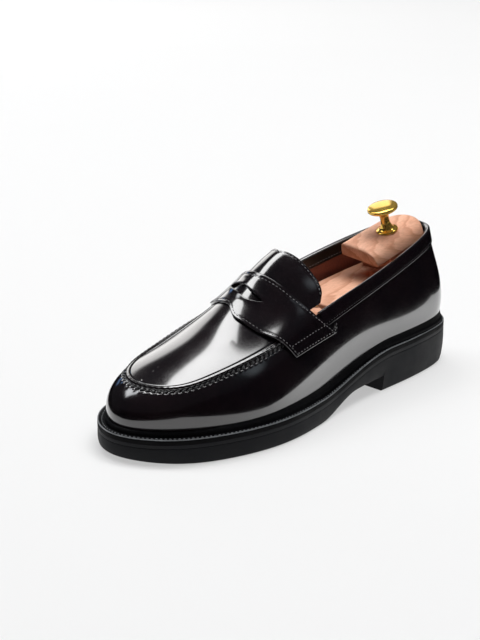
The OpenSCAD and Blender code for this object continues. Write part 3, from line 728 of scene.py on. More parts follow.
def wall_section(d_out, d_in, v0, v1, rows, t, detail=None):
    f = np.linspace(0, 1, rows) ** 0.9 if np.isscalar(rows) else rows
    tt, vv = np.meshgrid(t, f, indexing="ij")
    v = mix(v0(t)[:, None], v1(t)[:, None], vv)
    do, di = d_out(tt, v), d_in(tt, v)
    if detail is not None:
        do = do + detail(tt, v)
    return off(tt, v, do), off(tt, v, di)


def const(x):
    return lambda t, v=None: np.full(np.shape(t), float(x))


def v_top(t):
    return np.where(seam_k(t) > 0, 0.995, 1.0)


def build_wall():
    t = np.concatenate([np.linspace(-5.6, 5.6, 240)[:-1], np.linspace(5.6, 14.4, 680)[:-1]])
    rows = np.concatenate([np.linspace(0, 0.8, 28)[:-1], np.linspace(0.8, 1, 43)])
    out, inn = wall_section(const(0), const(-UPPER), const(0), v_top, rows, t, detail=pucker)
    sec = np.concatenate([out, inn[:, ::-1][:, ::3]], 1)
    ob = sweep("upper_wall", sec, True, 50)
    place(ob, UPPER_MAT, "shoe", ["side_wrap"])


def build_linings():
    t = np.linspace(-T_FRONT + 0.02, T_FRONT - 0.02, 260)
    out, inn = wall_section(lining_d, lambda a, b: lining_d(a, b) - LINING, const(0.0),
                            lambda u: v_band(u) - 0.002, 26, t)
    ob = sweep("lining_quarters", np.concatenate([out, inn[:, ::-1]], 1), False, 50)
    place(ob, LINING_MAT, "shoe", ["quarter_lining"])
    out, inn = wall_section(lining_d, lambda a, b: lining_d(a, b) - LINING, v_band, v_top, 16, t)
    sec = rounded(np.concatenate([out, inn[:, ::-1]], 1),
                  [0.3] + [0] * 14 + [0.2, 0.5] + [0] * 14 + [0.4], 3)
    ob = sweep("facing_topline", sec, False, 50)
    place(ob, FACING_MAT, "shoe", ["topline_facing"])
    # the stitched lower edge of the facing
    inside = t[6:-6]
    low = v_band(inside)
    line = off(inside, low + 0.035, lining_d(inside, low) - LINING)
    stitch_rows("facing_stitches", [(line, -nrm(inside, low), *FACING_STITCH)],
                THREAD_MAT, "shoe")


def build_band():
    """The folded band round the topline, rolled over the upper's top edge."""
    t0 = 5.50
    t = np.linspace(-t0, t0, 300)
    up = unit(surf(t, np.full_like(t, 1.0)) - surf(t, np.full_like(t, 0.97)))
    n1 = nrm(t, np.ones_like(t))
    vb = v_band(t)
    pts = [off(t, vb, GAP), off(t, vb, 0.9)]
    radii = [0, 0.4]
    for mm, d in ((1.5, 0.93), (4.6, 1.0), (7.0, 0.95)):
        pts.append(off(t, vb + (1 - vb) * mm / BAND_W, d))
        radii.append(0.5 if mm < 4 else 1.2)
    top = surf(t, np.ones_like(t))
    pts += [top + n1 * 0.92 + up * 0.25, top + n1 * 0.15 + up * 0.9, top + n1 * -0.65 + up * 0.94,
            top + n1 * -1.9 + up * 0.3, top + n1 * -1.9 + up * 0.04, top + n1 * GAP + up * 0.04]
    radii += [0.6, 0.3, 0.4, 0.4, 0, 0]
    sec = rounded(np.stack(pts, 1), radii, 4)
    ob = sweep("topline_band", sec, False, 50)
    place(ob, UPPER_MAT, "shoe", ["collar_band"])
    v_st = vb + (1 - vb) * 1.7 / BAND_W
    stitch_rows("topline_stitches", [row(t, v_st, 0.93, BAND_STITCH)],
                APRON_THREAD, "shoe")


def build_backstay():
    t = np.linspace(-0.9, 0.9, 61)
    v = np.linspace(0.10, 1, 60)
    vv = mix(0.09, v_band(t)[None, :] - 0.004, ((v - 0.10) / 0.90)[:, None])
    tt = np.broadcast_to(t, vv.shape)
    # narrower towards the top
    tt = tt * (1 - 0.28 * smooth((vv - 0.1) / 0.7))
    edge = (1 - np.abs(t) / 0.9)[None, :] * BACKSTAY_HALF
    d = GAP + 0.8 - round_off(edge, 0.5)
    d = d - 0.18 * np.exp(-((edge - ROW_IN) / 0.35) ** 2)
    ob = shell("heel_backstay", off(tt, vv, d), off(tt, vv, np.full_like(vv, GAP)))
    place(ob, UPPER_MAT, "shoe", ["backstay"])
    rows = []
    for side in (-1, 1):
        ts = tt[1:-1, 0] * -side * (1 - ROW_IN / BACKSTAY_HALF)
        rows.append(row(ts, vv[1:-1, 0], 0.72, BACKSTAY_STITCH))
    stitch_rows("backstay_stitches", rows, THREAD_MAT, "shoe")


def there_and_back(v_half):
    """Heights up the outer side and down the inner side; side is true on the inner one."""
    v = np.concatenate([v_half, v_half[::-1][1:]])
    return v, np.arange(len(v)) >= len(v_half)


def across(cols_t, v_half):
    """Grid over the top: rows from the outer seam over the ridge to the inner seam."""
    v, side = there_and_back(v_half)
    tt = np.stack([20 - cols_t if inner else cols_t for inner in side])
    return tt, np.broadcast_to(v[:, None], tt.shape).copy()


def build_apron():
    t = T_FRONT + (10 - T_FRONT) * np.linspace(0, 1, 150)
    v = 1.0 + np.concatenate([[0.006, 0.011, 0.017, 0.024, 0.032, 0.045], np.linspace(0.07, 1, 46)])
    tt, vv = across(t, v)
    r = station(tt)
    reach = np.hypot(r[..., 2] - r[..., 8], r[..., 3] - r[..., 9])
    edge = (vv - 1) * reach
    # the edge dips where the seam pulls it down
    d = -0.5 * smooth((0.95 - edge) / 0.9)
    ob = shell("apron_leather", off(tt, vv, d), off(tt, vv, d * 0 - UPPER), merge=0.01)
    place(ob, UPPER_MAT, "shoe", ["apron"])
    wall_v = np.linspace(0, 0.995, 14)
    v = np.concatenate([wall_v, 1.0 + np.linspace(0.006, 1, 24)])
    tt, vv = across(T_FRONT + (10 - T_FRONT) * np.linspace(0, 1, 60), v)
    d = lining_d(tt, vv)
    ob = shell("lining_vamp", off(tt, vv, d), off(tt, vv, d - LINING), merge=0.01)
    place(ob, TAN_MAT, "shoe", ["vamp_lining"])


def build_bead():
    """The apron's turned edge: a flat-topped roll that the stitches notch from below."""
    t = np.linspace(6.34, 13.66, 900)
    full = np.ones_like(t)
    seam = surf(t, 0.995 * full)
    climb = unit(surf(t, 0.99 * full) - surf(t, 0.95 * full))
    side, top = wall_n(t, 0.95 * full), top_n(t, 0.02 * full)
    out = unit(side - (side * top).sum(-1, keepdims=True) * top)
    phase = 2 * np.pi * arc_phase(t, 0.97, SEAM_PITCH)
    size = (0.3 + 0.7 * smooth((t - 6.34) / 0.05) * smooth((13.66 - t) / 0.05))[:, None]

    def lobe(turn):
        return 0.5 + 0.5 * np.cos(phase - 2 * np.pi * turn)[:, None]

    pts = [seam - 0.05 * out + 0.02 * top, seam - 0.02 * out + 0.62 * size * top,
           seam + size * (1.75 * out + (0.56 - 0.06 * lobe(0.1)) * top),
           seam - 1.25 * climb + size * (1.6 - 0.30 * lobe(0.25)) * side,
           seam - (2.3 + 0.2 * lobe(0.4)) * climb + size * (0.75 - 0.42 * lobe(0.4)) * side,
           seam - 2.75 * climb - 0.2 * side, seam - 1.4 * climb - 0.3 * side]
    sec = rounded(np.stack(pts, 1), [0, 0.3, 0.6, 0.7, 0.35, 0, 0], 4)
    ob = sweep("apron_bead_roll", sec, False, 60, merge=0.004)
    place(ob, UPPER_MAT, "shoe", ["apron_bead"])
    ts = np.linspace(6.30, 13.70, 1200)
    stitch_rows("apron_stitches", [row(ts, v_at(ts, 3.75), -0.3, APRON_STITCH)],
                APRON_THREAD, "shoe")


# strap edges: the column at each height of the side and top
REAR = Curve([[0.64, 5.14], [1, 5.64], [1.2, 5.76], [1.5, 5.81], [1.8, 5.79], [2, 5.74]])
FRONT = Curve([[0.64, 6.32], [1, 6.68], [1.3, 6.87], [1.55, 6.9], [1.8, 6.85], [2, 6.6]])
INNER = Curve([[0.64, 6.04], [1, 6.4], [1.3, 6.58], [1.55, 6.62], [1.8, 6.62], [2, 6.6]])


def strap_lift(v):
    return 1.3 * smooth(1 - np.abs(v - 1) / 0.28)


def build_strap():
    ends = STRAP_END + np.array([0, 0.0012, 0.004, 0.009, 0.017, 0.03])
    v_half = np.concatenate([ends, np.linspace(0.68, 1.53, 62),
                             1.55 + 0.45 * np.linspace(0, 1, 34) ** 1.5])
    v, side = there_and_back(v_half)
    rear, front = REAR(v), np.where(side, INNER(v), FRONT(v))
    lens = np.where(v <= 1.55, 0.0, np.sin(np.pi / 2 * np.clip((v - 1.55) / 0.45, 0, 1)) ** 0.7)
    us, ul = 0.42 - 0.10 * lens, 0.42 + 0.12 * lens
    t_mid = mix(rear, front, 0.5)
    wide = STATION_MM * (front - rear) * np.where(v > 1, mix(1.0, 0.72, np.clip(v - 1, 0, 1)), 1.0)
    e = np.array([0, 0.05, 0.2, 0.45, 0.8])

    def fractions(lo, hi, width, count):
        inner = np.linspace(0, 1, count)[1:-1]
        x0, x1 = lo * width + 1.1, hi * width - 1.1
        pts = np.concatenate([lo * width + e, x0 + (x1 - x0) * inner, hi * width - e[::-1]])
        return pts / width

    grid_u = np.stack([np.concatenate([fractions(0, us[i], wide[i], 14),
                                       fractions(ul[i], 1, wide[i], 18)])
                       for i in range(len(v))])
    split = len(e) * 2 + 12
    tt = mix(rear[:, None], front[:, None], grid_u)
    vv = np.broadcast_to(v[:, None], tt.shape)
    x_rear, x_front = grid_u * wide[:, None], (1 - grid_u) * wide[:, None]
    near = np.abs(np.where(np.arange(tt.shape[1])[None, :] < split, us[:, None] - grid_u,
                           grid_u - ul[:, None])) * wide[:, None]
    v_mm = 0.9 * pace(t_mid)
    from_end = ((v - STRAP_END) * v_mm)[:, None]
    lens2 = lens[:, None]
    d = STRAP_GAP + STRAP + strap_lift(vv)
    d = d - round_off(x_rear, 0.55) - round_off(x_front, 0.55) - round_off(from_end, 0.55)
    d = d - round_off(near, 0.5) * smooth(lens2 / 0.25)
    # stitch channels, the raised rim round the slot and the press of the end seams
    for x in (x_rear, x_front):
        d = d - 0.10 * np.exp(-((x - ROW_IN) / 0.5) ** 2)
    for at in END_ROWS:
        d = d - 0.10 * np.exp(-((from_end - at) / 0.5) ** 2)
    d = d + 0.35 * smooth(lens2 / 0.4) * np.exp(-(near / 2.2) ** 2)
    cross = np.where(side[:, None], 20 - tt, tt)
    lower = STRAP_GAP + strap_lift(vv)
    is_open = np.zeros((len(v) - 1, tt.shape[1] - 1), bool)
    is_open[:, split - 1] = True
    closed = (lens[:-1] + lens[1:]) <= 1e-6
    is_open[closed, split - 1] = False
    ob = shell("saddle_strap_leather", off(cross, vv, d), off(cross, vv, lower), is_open,
               merge=0.004)
    place(ob, UPPER_MAT, "shoe", ["saddle_strap"])

    def line(fn, keep):
        rr = np.stack([fn(i) for i in range(len(v)) if keep(v[i], side[i])])
        tq, vq = rr[:, 0], rr[:, 1]
        return row(tq, vq, STRAP_GAP + STRAP - 0.14 + strap_lift(vq), STRAP_STITCH)

    rows = []
    cr = lambda i, tval: (20 - tval) if side[i] else tval
    inset = lambda i, mm: mix(rear[i], front[i], mm / wide[i])
    rows.append(line(lambda i: (cr(i, inset(i, ROW_IN)), v[i]), lambda a, b: True))
    for which in (False, True):
        rows.append(line(lambda i: (cr(i, inset(i, wide[i] - ROW_IN)), v[i]),
                         lambda a, b: b == which and a < 1.995))
    for sgn in (False, True):
        k = len(v) - 1 if sgn else 0
        for mm in END_ROWS:
            vq = STRAP_END + mm / v_mm[k]
            f_edge = float(INNER(vq) if sgn else FRONT(vq))
            tq = np.linspace(float(REAR(vq)) + 0.05, f_edge - 0.06, 90)
            tq = 20 - tq if sgn else tq
            vq = np.full_like(tq, vq)
            rows.append(row(tq, vq, STRAP_GAP + STRAP - 0.2 + strap_lift(vq), END_STITCH))
        # back-tack at the rear lower corner
        tq0 = np.linspace(float(REAR(0.68)) - 0.10, float(REAR(0.68)) + 0.03, 20)
        for shift in (0.0, 0.05):
            tq = 20 - tq0 if sgn else tq0
            vq = np.linspace(0.70 + shift, STRAP_END + shift * 0.6, 20)
            rows.append(row(tq, vq, 0.45, TACK_STITCH))
    stitch_rows("strap_stitches", rows, THREAD_MAT, "shoe")


TONGUE_V = np.array([1.07, 1.14, 1.25, 1.4, 1.6, 1.8, 2])
TONGUE_T = np.array([5.4, 5.26, 5.19, 5.17, 5.17, 5.17, 5.17])
TONGUE_REAR = Curve(np.stack([TONGUE_V, TONGUE_T], 1))


def tongue_edges(v, inset=0.0):
    rear = np.interp(v, TONGUE_V, TONGUE_T) * 0.35 + TONGUE_REAR(v) * 0.65 + inset
    return rear, REAR(v) + TUCK


def tongue_grid(d_of, d_in, inset=0.0):
    v_half = 1.07 + inset + (0.93 - inset) * np.concatenate([[0, 0.004, 0.012, 0.03],
                                                             np.linspace(0.05, 1, 56)])
    f = np.concatenate([[0, 0.004, 0.014, 0.032, 0.06], np.linspace(0.09, 1, 22)])
    v, side = there_and_back(v_half)
    rear, front = tongue_edges(v, inset)
    tt = mix(rear[:, None], front[:, None], f[None, :])
    vv = np.broadcast_to(v[:, None], tt.shape)
    width = (front - rear) * STATION_MM
    x = f[None, :] * width[:, None]
    end = ((v - v_half[0]) * 40)[:, None] + 0 * x
    lift = 2 * smooth((1.5 - vv) / 0.35) * (1 - f[None, :])
    near = np.minimum(x, end)
    cross = np.where(side[:, None], 20 - tt, tt)
    return cross, vv, d_of(near) + lift, d_in + lift


def build_tongue():
    cross, vv, d1, d0 = tongue_grid(
        lambda x: -0.1 - round_off(x, 0.5) - 0.16 * np.exp(-((x - ROW_IN) / 0.4) ** 2), -1.3)
    ob = shell("tongue_leather", off(cross, vv, d1), off(cross, vv, d0 + 0 * vv), merge=0.004)
    place(ob, UPPER_MAT, "tongue", ["tongue"])
    cross, vv, d1, d0 = tongue_grid(lambda x: -1.42 + 0 * x, -2.1, 0.012)
    ob = shell("tongue_under", off(cross, vv, d1), off(cross, vv, d0 + 0 * vv), merge=0.004)
    place(ob, TAN_MAT, "tongue", ["tongue_lining"])
    # one row round the free edge
    v_half = np.linspace(1.13, 2, 200)
    v, side = there_and_back(v_half)
    rear, front = tongue_edges(v)
    f = ROW_IN / ((front - rear) * STATION_MM)
    t = mix(rear, front, f)
    lift = 2 * smooth((1.5 - v) / 0.35) * (1 - f)
    t = np.where(side, 20 - t, t)
    stitch_rows("tongue_stitches", [row(t, v, lift - 0.24, TONGUE_STITCH)],
                THREAD_MAT, "tongue")


# ---------------------------------------------------------------- bottom
def feather_ring(inset, z, t=TT):
    f = station(t)[..., :2] - inset * plan_out(station, t)
    return world(f[:, 0], f[:, 1], z(f[:, 1]))


def sole_ring(inset, z, t=TT):
    f = sole_curve(t) - inset * plan_out(sole_curve, t)
    return world(f[:, 0], f[:, 1], z(f[:, 1]))


def sole_top(s):
    return rim_z(s) - WELT_TH - MIDSOLE - 2 * GAP


def under_z(s):
    lift = SPRING * np.clip((s - 248) / 52, 0, 1) ** 2
    u120 = WAIST - 1.2 * smooth((120 - BREAST) / 50)
    return np.where(s < 120, WAIST - 1.2 * smooth((s - BREAST) / 50),
                    mix(u120, 0.0, smooth((s - 120) / 46)) + lift)


def build_welt():
    t = np.arange(640) * 20 / 640
    f, n = station(t)[:, :2], plan_out(station, t)
    o = sole_curve(t) - 0.15 * plan_out(sole_curve, t)
    e = unit(o - f)
    i2 = f - 4 * n
    zi, zo = rim_z(i2[:, 1]), rim_z(o[:, 1])
    w1, w2, w3 = (off(t, v, GAP) for v in (0.0, 0.045, 0.09))
    lift = RIDGE_H - (w3[:, 2] - rim_z(f[:, 1]))
    en = np.stack([e[:, 0], -e[:, 1], 0 * t], -1)
    up = np.array([0, 0, 1.0])
    led = f + 3 * e
    zl = rim_z(led[:, 1])
    room = np.linalg.norm(o - led, axis=1)
    grv = led + e * np.minimum(room * 0.5, 2.0)[:, None]
    zg = rim_z(grv[:, 1])
    g0, g1 = grv - 0.55 * e, grv + 0.55 * e
    pts = [world(i2[:, 0], i2[:, 1], zi - WELT_TH), world(o[:, 0], o[:, 1], zo - WELT_TH),
           world(o[:, 0], o[:, 1], zo - 0.25), world(*(o - 0.35 * e).T, zo + 0.02),
           world(g1[:, 0], g1[:, 1], zg), world(grv[:, 0], grv[:, 1], zg - 0.35),
           world(g0[:, 0], g0[:, 1], zg),
           world(led[:, 0], led[:, 1], zl),
           w3 + 1.9 * en + up * (lift - 0.9)[:, None], w3 + 0.9 * en + up * lift[:, None],
           w3 + 0.1 * en + up * (np.maximum(lift, 0) * 0.9)[:, None], w2, w1 - up * GAP,
           world(i2[:, 0], i2[:, 1], zi - GAP)]
    sec = rounded(np.stack(pts, 1), [0, 0.3, 0.5, 0.3, 0.3, 0.3, 0.3, 0.6, 0.5, 0.5, 0, 0, 0, 0], 3)
    ob = sweep("storm_welt", sec, True, 42)
    place(ob, WELT_MAT, "shoe", ["welt"])
    nor = np.broadcast_to(up, (len(t), 3))
    stitch_rows("welt_stitches", [(world(grv[:, 0], grv[:, 1], zg - 0.02), nor, *WELT_STITCH)],
                WELT_THREAD, "shoe")
    # the lip along the welt's outer edge, coloured lighter grey as a painted highlight where the
    # edge catches light
    lip, zl = o - 0.45 * e, rim_z(o[:, 1])
    pts = [world(*(lip + 0.42 * e).T, zl - 0.2), world(*(lip + 0.36 * e).T, zl + 0.3),
           world(*(lip - 0.36 * e).T, zl + 0.34), world(*(lip - 0.42 * e).T, zl - 0.2)]
    ob = sweep("welt_lip", rounded(np.stack(pts, 1), [0, 0.18, 0.18, 0], 3), True, 42)
    place(ob, WELT_EDGE_HIGHLIGHT_MAT, "shoe")


def build_bottom():
    top = lambda k: (lambda s: rim_z(s) - WELT_TH - GAP - k)
    rings = [sole_ring(0.35, top(MIDSOLE)), sole_ring(0.2, top(MIDSOLE - 0.15)),
             sole_ring(0.15, top(MIDSOLE / 2)),
             sole_ring(0.2, top(0.15)), sole_ring(0.35, top(0))]
    place(stack("midsole_layer", rings), MIDSOLE_MAT, "shoe", ["midsole"])
    side = lambda f: (lambda s: mix(under_z(s) + 1.6, sole_top(s), f))
    rings = [sole_ring(2.2, under_z), sole_ring(1.35, lambda s: under_z(s) + 0.28),
             sole_ring(0.8, lambda s: under_z(s) + 0.8), sole_ring(0.5, lambda s: under_z(s) + 1.6),
             sole_ring(0.2, side(0.2)), sole_ring(0.05, side(0.45)), sole_ring(0.1, side(0.7)),
             sole_ring(0.15, side(0.93)), sole_ring(0.2, lambda s: sole_top(s) - 0.15),
             sole_ring(0.35, sole_top)]
    sole = stack("outsole_rubber", rings)
    flat = lambda z: (lambda s: z + 0 * s)
    rings = [sole_ring(3.1, flat(0)), sole_ring(2.4, flat(0.2)), sole_ring(1.9, flat(0.7)),
             sole_ring(1.6, flat(1.8)),
             sole_ring(1.1, flat(4)), sole_ring(0.55, flat(8)), sole_ring(0.2, flat(WAIST + 2)),
             sole_ring(0.1, side(0.7)), sole_ring(0.12, side(0.95)), sole_ring(1.6, side(0.99))]
    heel = stack("heel_part", rings)
    boolean(heel, box_ob("clip", -60, 60, LENGTH / 2 - BREAST, 165, -1, 30), "INTERSECT")
    boolean(sole, heel, "UNION")
    cuts = []
    for k in range(8):
        h = 34 - abs(k - 3) * 1.5
        cuts.append((-X_MID - h, -X_MID + h, -30 - k * 11, -27 - k * 11, -1, TREAD))
    for k in range(4):
        cuts.append((-X_MID - 19, -X_MID + 21, 74 + k * 15, 77.4 + k * 15, -1, TREAD))
    cuts.append((-1, 1, 134, 143.5, -1, TREAD - 0.4))
    for c in cuts:
        boolean(sole, box_ob("cut", *c), "DIFFERENCE")
    resharpen(sole, 34)
    place(sole, SOLE_MAT, "shoe", ["outsole"])
    z = lambda k: (lambda s: rim_z(s) + k)
    place(stack("sock_lining",
                [feather_ring(3.9, z(2.66)), feather_ring(3.7, z(3.1)), feather_ring(4.1, z(3.6)),
                                feather_ring(5.0, z(3.7))]), SOCK_MAT, "shoe",
                                ["sock_liner"])


BOX_FACES = [(0, 1, 3, 2), (4, 6, 7, 5), (0, 4, 5, 1), (2, 3, 7, 6), (0, 2, 6, 4), (1, 5, 7, 3)]


def box_ob(name, x0, x1, y0, y1, z0, z1, frame_fn=None):
    v = np.array([[x, y, z] for z in (z0, z1) for y in (y0, y1) for x in (x0, x1)], float)
    return add_mesh(name, v if frame_fn is None else frame_fn(v), BOX_FACES)


# ---------------------------------------------------------------- shoe tree
HALF_TURN = np.radians(np.arange(0, 181, 5))
AXIS_S, AXIS_Z, SLAB_TILT, BLOCK_TILT, KNOB_TILT, KNOB_ROLL = 122.0, 55.8, 7.2, 15.0, 16.2, -2.4
KNOB_S, KNOB_Z, BLOCK_ROLL = 50.4, 98.8, 4.5


def rot(axis, deg):
    return np.array(Matrix.Rotation(math.radians(deg), 3, axis))


def slab_frame(p):
    return p @ rot("X", SLAB_TILT).T + np.array([-X_MID, LENGTH / 2 - AXIS_S, AXIS_Z])


def block_frame(p):
    m = rot("X", BLOCK_TILT).T @ rot("Y", BLOCK_ROLL).T
    return p @ m + np.array([-X_MID, LENGTH / 2 - KNOB_S, KNOB_Z])


def stud_frame(p):
    m = rot("X", KNOB_TILT).T @ rot("Y", KNOB_ROLL).T
    return (p + np.array([0, 0, -0.6])) @ m + np.array([-X_MID, LENGTH / 2 - KNOB_S, KNOB_Z])


def prism(name, outline, z0, z1, frame_fn):
    n = len(outline)
    o = np.asarray(outline, float)
    v = np.concatenate([np.c_[o, np.full(n, z0)], np.c_[o, np.full(n, z1)]])
    faces = [(j, (j + 1) % n, n + (j + 1) % n, n + j) for j in range(n)]
    faces += [tuple(range(n))[::-1], tuple(range(n, 2 * n))]
    return add_mesh(name, frame_fn(v), faces)


def build_slab():
    a = HALF_TURN
    outline = ([[22.5, 0.2], [23.2, 10], [23.5, 20], [23.5, 40], [23.3, 58], [22.6, 68]]
               + [[21.5 * math.cos(x), 76 + 21.5 * math.sin(x)] for x in a[1:-1]]
               + [[-22.6, 68], [-23.3, 58], [-23.5, 40], [-23.5, 20], [-23.2, 10], [-22.5, 0.2]])
    ob = prism("cedar_slab", outline, -6.45, 6.45, slab_frame)
    bevel(ob, 1.3, 4, 40)
    place(ob, WOOD_MAT, "tree_heel", ["slab"])


def block_outline(o, i, back, front, e, p):
    """Outer and inner half width, length behind and before the knob, front change, squareness."""
    a = HALF_TURN
    pts = [[o + e, -front], [o + e * 0.75, -front * 0.6], [o + e * 0.45, -8], [o + e * 0.13, 4]]
    for x in a:
        c, k = math.cos(x), (p if x < math.pi / 2 else 1)
        pts.append([(i if c < 0 else o) * math.copysign(abs(c) ** k, c),
                    9 + (back - 9) * abs(math.sin(x)) ** k])
    pts += [[-i - 0.4, 4], [-i - 0.9, -8], [-i - 1.2, -front * 0.6], [-i - 1.4, -front]]
    return np.array(pts, float)


BLOCK = np.array([[-10.5, 16.3, 15.8, 28.8, 29.5, 0, 0.85], [-7, 15.4, 15.8, 28.6, 29.8, 0, 0.85],
                  [-3.8, 13.8, 15.5, 27.8, 29.8, -0.5, 0.8],
                  [-1.9, 12, 14.8, 26.6, 29.8, -1.5, 0.75],
                  [-0.7, 10, 13.2, 25.4, 29.3, -3, 0.7], [0, 8, 11.5, 24, 27.8, -4.5, 0.65]])


def build_block():
    step = np.arange(len(BLOCK))
    layers = np.stack([Curve(np.c_[step, BLOCK[:, k]])(np.linspace(0, len(BLOCK) - 1, 21))
                       for k in range(7)], 1)
    rings = [np.c_[block_outline(*b[1:]), np.full(len(block_outline(*b[1:])), b[0])]
             for b in layers]
    n = len(rings[0])
    faces = [(k * n + j, k * n + (j + 1) % n, (k + 1) * n + (j + 1) % n, (k + 1) * n + j)
             for k in range(len(rings) - 1) for j in range(n)]
    faces += [tuple(range(n))[::-1], tuple(range((len(rings) - 1) * n, len(rings) * n))]
    ob = add_mesh("cedar_heel_block", block_frame(np.concatenate(rings)), faces)
    bevel(ob, 0.9, 3, 24)
    foot = prism("block_foot", block_outline(12, 14, 23, 12, 0.5, 1), -34, -4, block_frame)
    boolean(foot, box_ob("clip", -30, 40, 46, 116, 6.5, 56.5, slab_frame), "INTERSECT")
    boolean(ob, foot, "UNION")
    seat = lathe("seat", [[0, 0], [8, 0], [8, 10], [0, 10]], 64)
    boolean(ob, seat, "DIFFERENCE")
    resharpen(ob, 40)
    place(ob, BLOCK_MAT, "tree_heel", ["heel_block"])


def lathe(name, profile, segments):
    p = np.asarray(profile, float)
    a = np.arange(segments) * 2 * math.pi / segments
    inner = p[1:-1]
    v = [[0, 0, p[0, 1]], [0, 0, p[-1, 1]]]
    for r, z in inner:
        v += [[r * math.cos(x), r * math.sin(x), z] for x in a]
    faces = []
    for i in range(len(inner) - 1):
        for j in range(segments):
            b = 2 + i * segments
            faces.append((b + j, b + (j + 1) % segments, b + segments + (j + 1) % segments,
                          b + segments + j))
    last = 2 + (len(inner) - 1) * segments
    for j in range(segments):
        faces += [(0, 2 + (j + 1) % segments, 2 + j), (1, last + j, last + (j + 1) % segments)]
    return add_mesh(name, stud_frame(np.array(v, float)), faces)


def build_knob():
    raw = np.array([[0, 0], [7.3, 0], [7.75, 0.35], [7.8, 0.95], [7.35, 1.6], [6.3, 1.95],
                    [5.2, 2.5], [4.4, 3.5],
                    [3.75, 5.2], [3.2, 7.2], [3.1, 10.0], [3.4, 12.2], [4.4, 13.9], [6.4, 15.1],
                    [8.6, 15.8],
                    [9.7, 16.3], [10.5, 17], [10.7, 17.8], [10.55, 18.5], [10.1, 19.1], [8.8, 19.5],
                    [6, 20.0],
                    [3, 20.25], [0, 20.3]])
    fine = [raw[0]]
    for k in range(1, len(raw) - 2):
        p0, p1, p2, p3 = raw[k - 1], raw[k], raw[k + 1], raw[k + 2]
        if k == 1:
            p0 = p1
        for f in (0, 0.25, 0.5, 0.75):
            fine.append(0.5 * (2 * p1 + (p2 - p0) * f + (2 * p0 - 5 * p1 + 4 * p2 - p3) * f ** 2
                               + (3 * p1 - p0 - 3 * p2 + p3) * f ** 3))
    fine += [raw[-2], raw[-1]]
    place(lathe("brass_knob_turned", fine, 96), BRASS_MAT, "tree_heel", ["knob"])


FORE = np.array([[131, -23, 27, 35, 64], [149.5, -25, 29, 30, 68], [165, -29, 33, 26, 72],
                 [180, -33, 36.5, 24, 72],
                 [200, -37, 40, 22.5, 64.5], [220, -38, 40, 22.2, 54.5],
                 [240, -35.5, 36, 22.3, 46.5],
                 [258, -29, 27.5, 22.6, 40], [272, -20, 15, 23.4, 35.5]], float)


def build_forepart():
    s = np.concatenate([[131, 131.6], np.linspace(133, 270, 50), [271.2, 272]])
    f = np.stack([np.interp(s, FORE[:, 0], FORE[:, k]) * 0.3 + Curve(FORE[:, [0, k]])(s) * 0.7
                  for k in range(1, 5)], 1)
    a = HALF_TURN
    for name, x0, x1, body, node in (("cedar_forepart_main", -60, 8.2, "shoe", "forepart_main"),
                                     ("cedar_forepart_side", 11.6, 60, "tree_side",
                                      "forepart_side")):
        secs = []
        for k in range(len(s)):
            w = np.where(a > math.pi / 2, f[k, 0], f[k, 1])
            x = np.abs(w) * np.sign(np.cos(a)) * np.abs(np.cos(a)) ** 0.72
            z = f[k, 2] + 4 + (f[k, 3] - f[k, 2] - 4) * np.abs(np.sin(a)) ** 0.8
            x = np.concatenate([x, [f[k, 0] * 0.86, f[k, 1] * 0.86]])
            z = np.concatenate([z, [f[k, 2], f[k, 2]]])
            secs.append(world(np.clip(x, x0, x1), np.full(len(x), s[k]), z))
        ob = sweep(name, np.stack(secs), False, 35, merge=0.01)
        place(ob, FORE_MAT, body, [node])


build_wall()
build_linings()
build_band()
build_backstay()
build_apron()
build_bead()
build_strap()
build_tongue()
build_welt()
build_bottom()
build_slab()
build_block()
build_knob()
build_forepart()

# CAD nodes whose own shape is right get their finish here
for node, mat in (("outer_tube", TUBE_MAT), ("inner_tube", TUBE_MAT), ("knob_stud", TUBE_MAT),
                  ("guide_pin_rear", STEEL_MAT), ("guide_pin_front", STEEL_MAT),
                  ("shank", STEEL_MAT),
                  ("cork_filler", CORK_MAT), ("insole", INSOLE_MAT), ("toe_puff", BOARD_MAT),
                  ("heel_counter", BOARD_MAT)):
    ob = frame["nodes"][node]
    ob.data.materials.clear()
    ob.data.materials.append(mat)

# ---------------------------------------------------------------- stage, light, camera
AZ, EL, DIST = math.radians(45.71), math.radians(18.39), 1.1176
TARGET = Vector((-0.0572, 0.01135, 0.040))
VIEW = Vector((math.sin(AZ) * math.cos(EL), -math.cos(AZ) * math.cos(EL), math.sin(EL)))
cam_data = bpy.data.cameras.new("camera")
cam_data.lens, cam_data.sensor_width, cam_data.sensor_fit = 90.53, 36.0, "AUTO"
cam = link("camera", cam_data)
cam.location = TARGET + VIEW * DIST
cam.rotation_euler = (-VIEW).to_track_quat("-Z", "Y").to_euler()
bpy.context.scene.camera = cam

LAMP_WATTS, LAMP_SIZE = 30.0, 1.3
GLOW_SOFT, GLOW_STRENGTH = 0.4, 0.9
FLOOR_NEAR, FLOOR_FAR = 0.48, 0.74    # the floor's own glow
floor_me = bpy.data.meshes.new("floor")
floor_me.from_pydata([(-14, -14, 0), (14, -14, 0), (14, 14, 0), (-14, 14, 0)], [], [(0, 1, 2, 3)])
floor = link("floor", floor_me)
k = Nodes("floor_paper")
grow = k.add("VectorMath", operation="LENGTH")
k.put(grow, "i0", k.coords())
k.set("Base Color", (0.36, 0.36, 0.36, 1))
k.set("Roughness", 0.9)
k.set("Specular IOR Level", 0.1)
k.set("Emission Color", (1.0, 1.0, 1.0, 1))
k.set("Emission Strength",
      k.add("MapRange", Value=grow.outputs["Value"], interpolation_type="SMOOTHSTEP",
                                 i1=0.2, i2=2.8, i3=FLOOR_NEAR, i4=FLOOR_FAR).outputs[0])
floor_me.materials.append(k.mat)

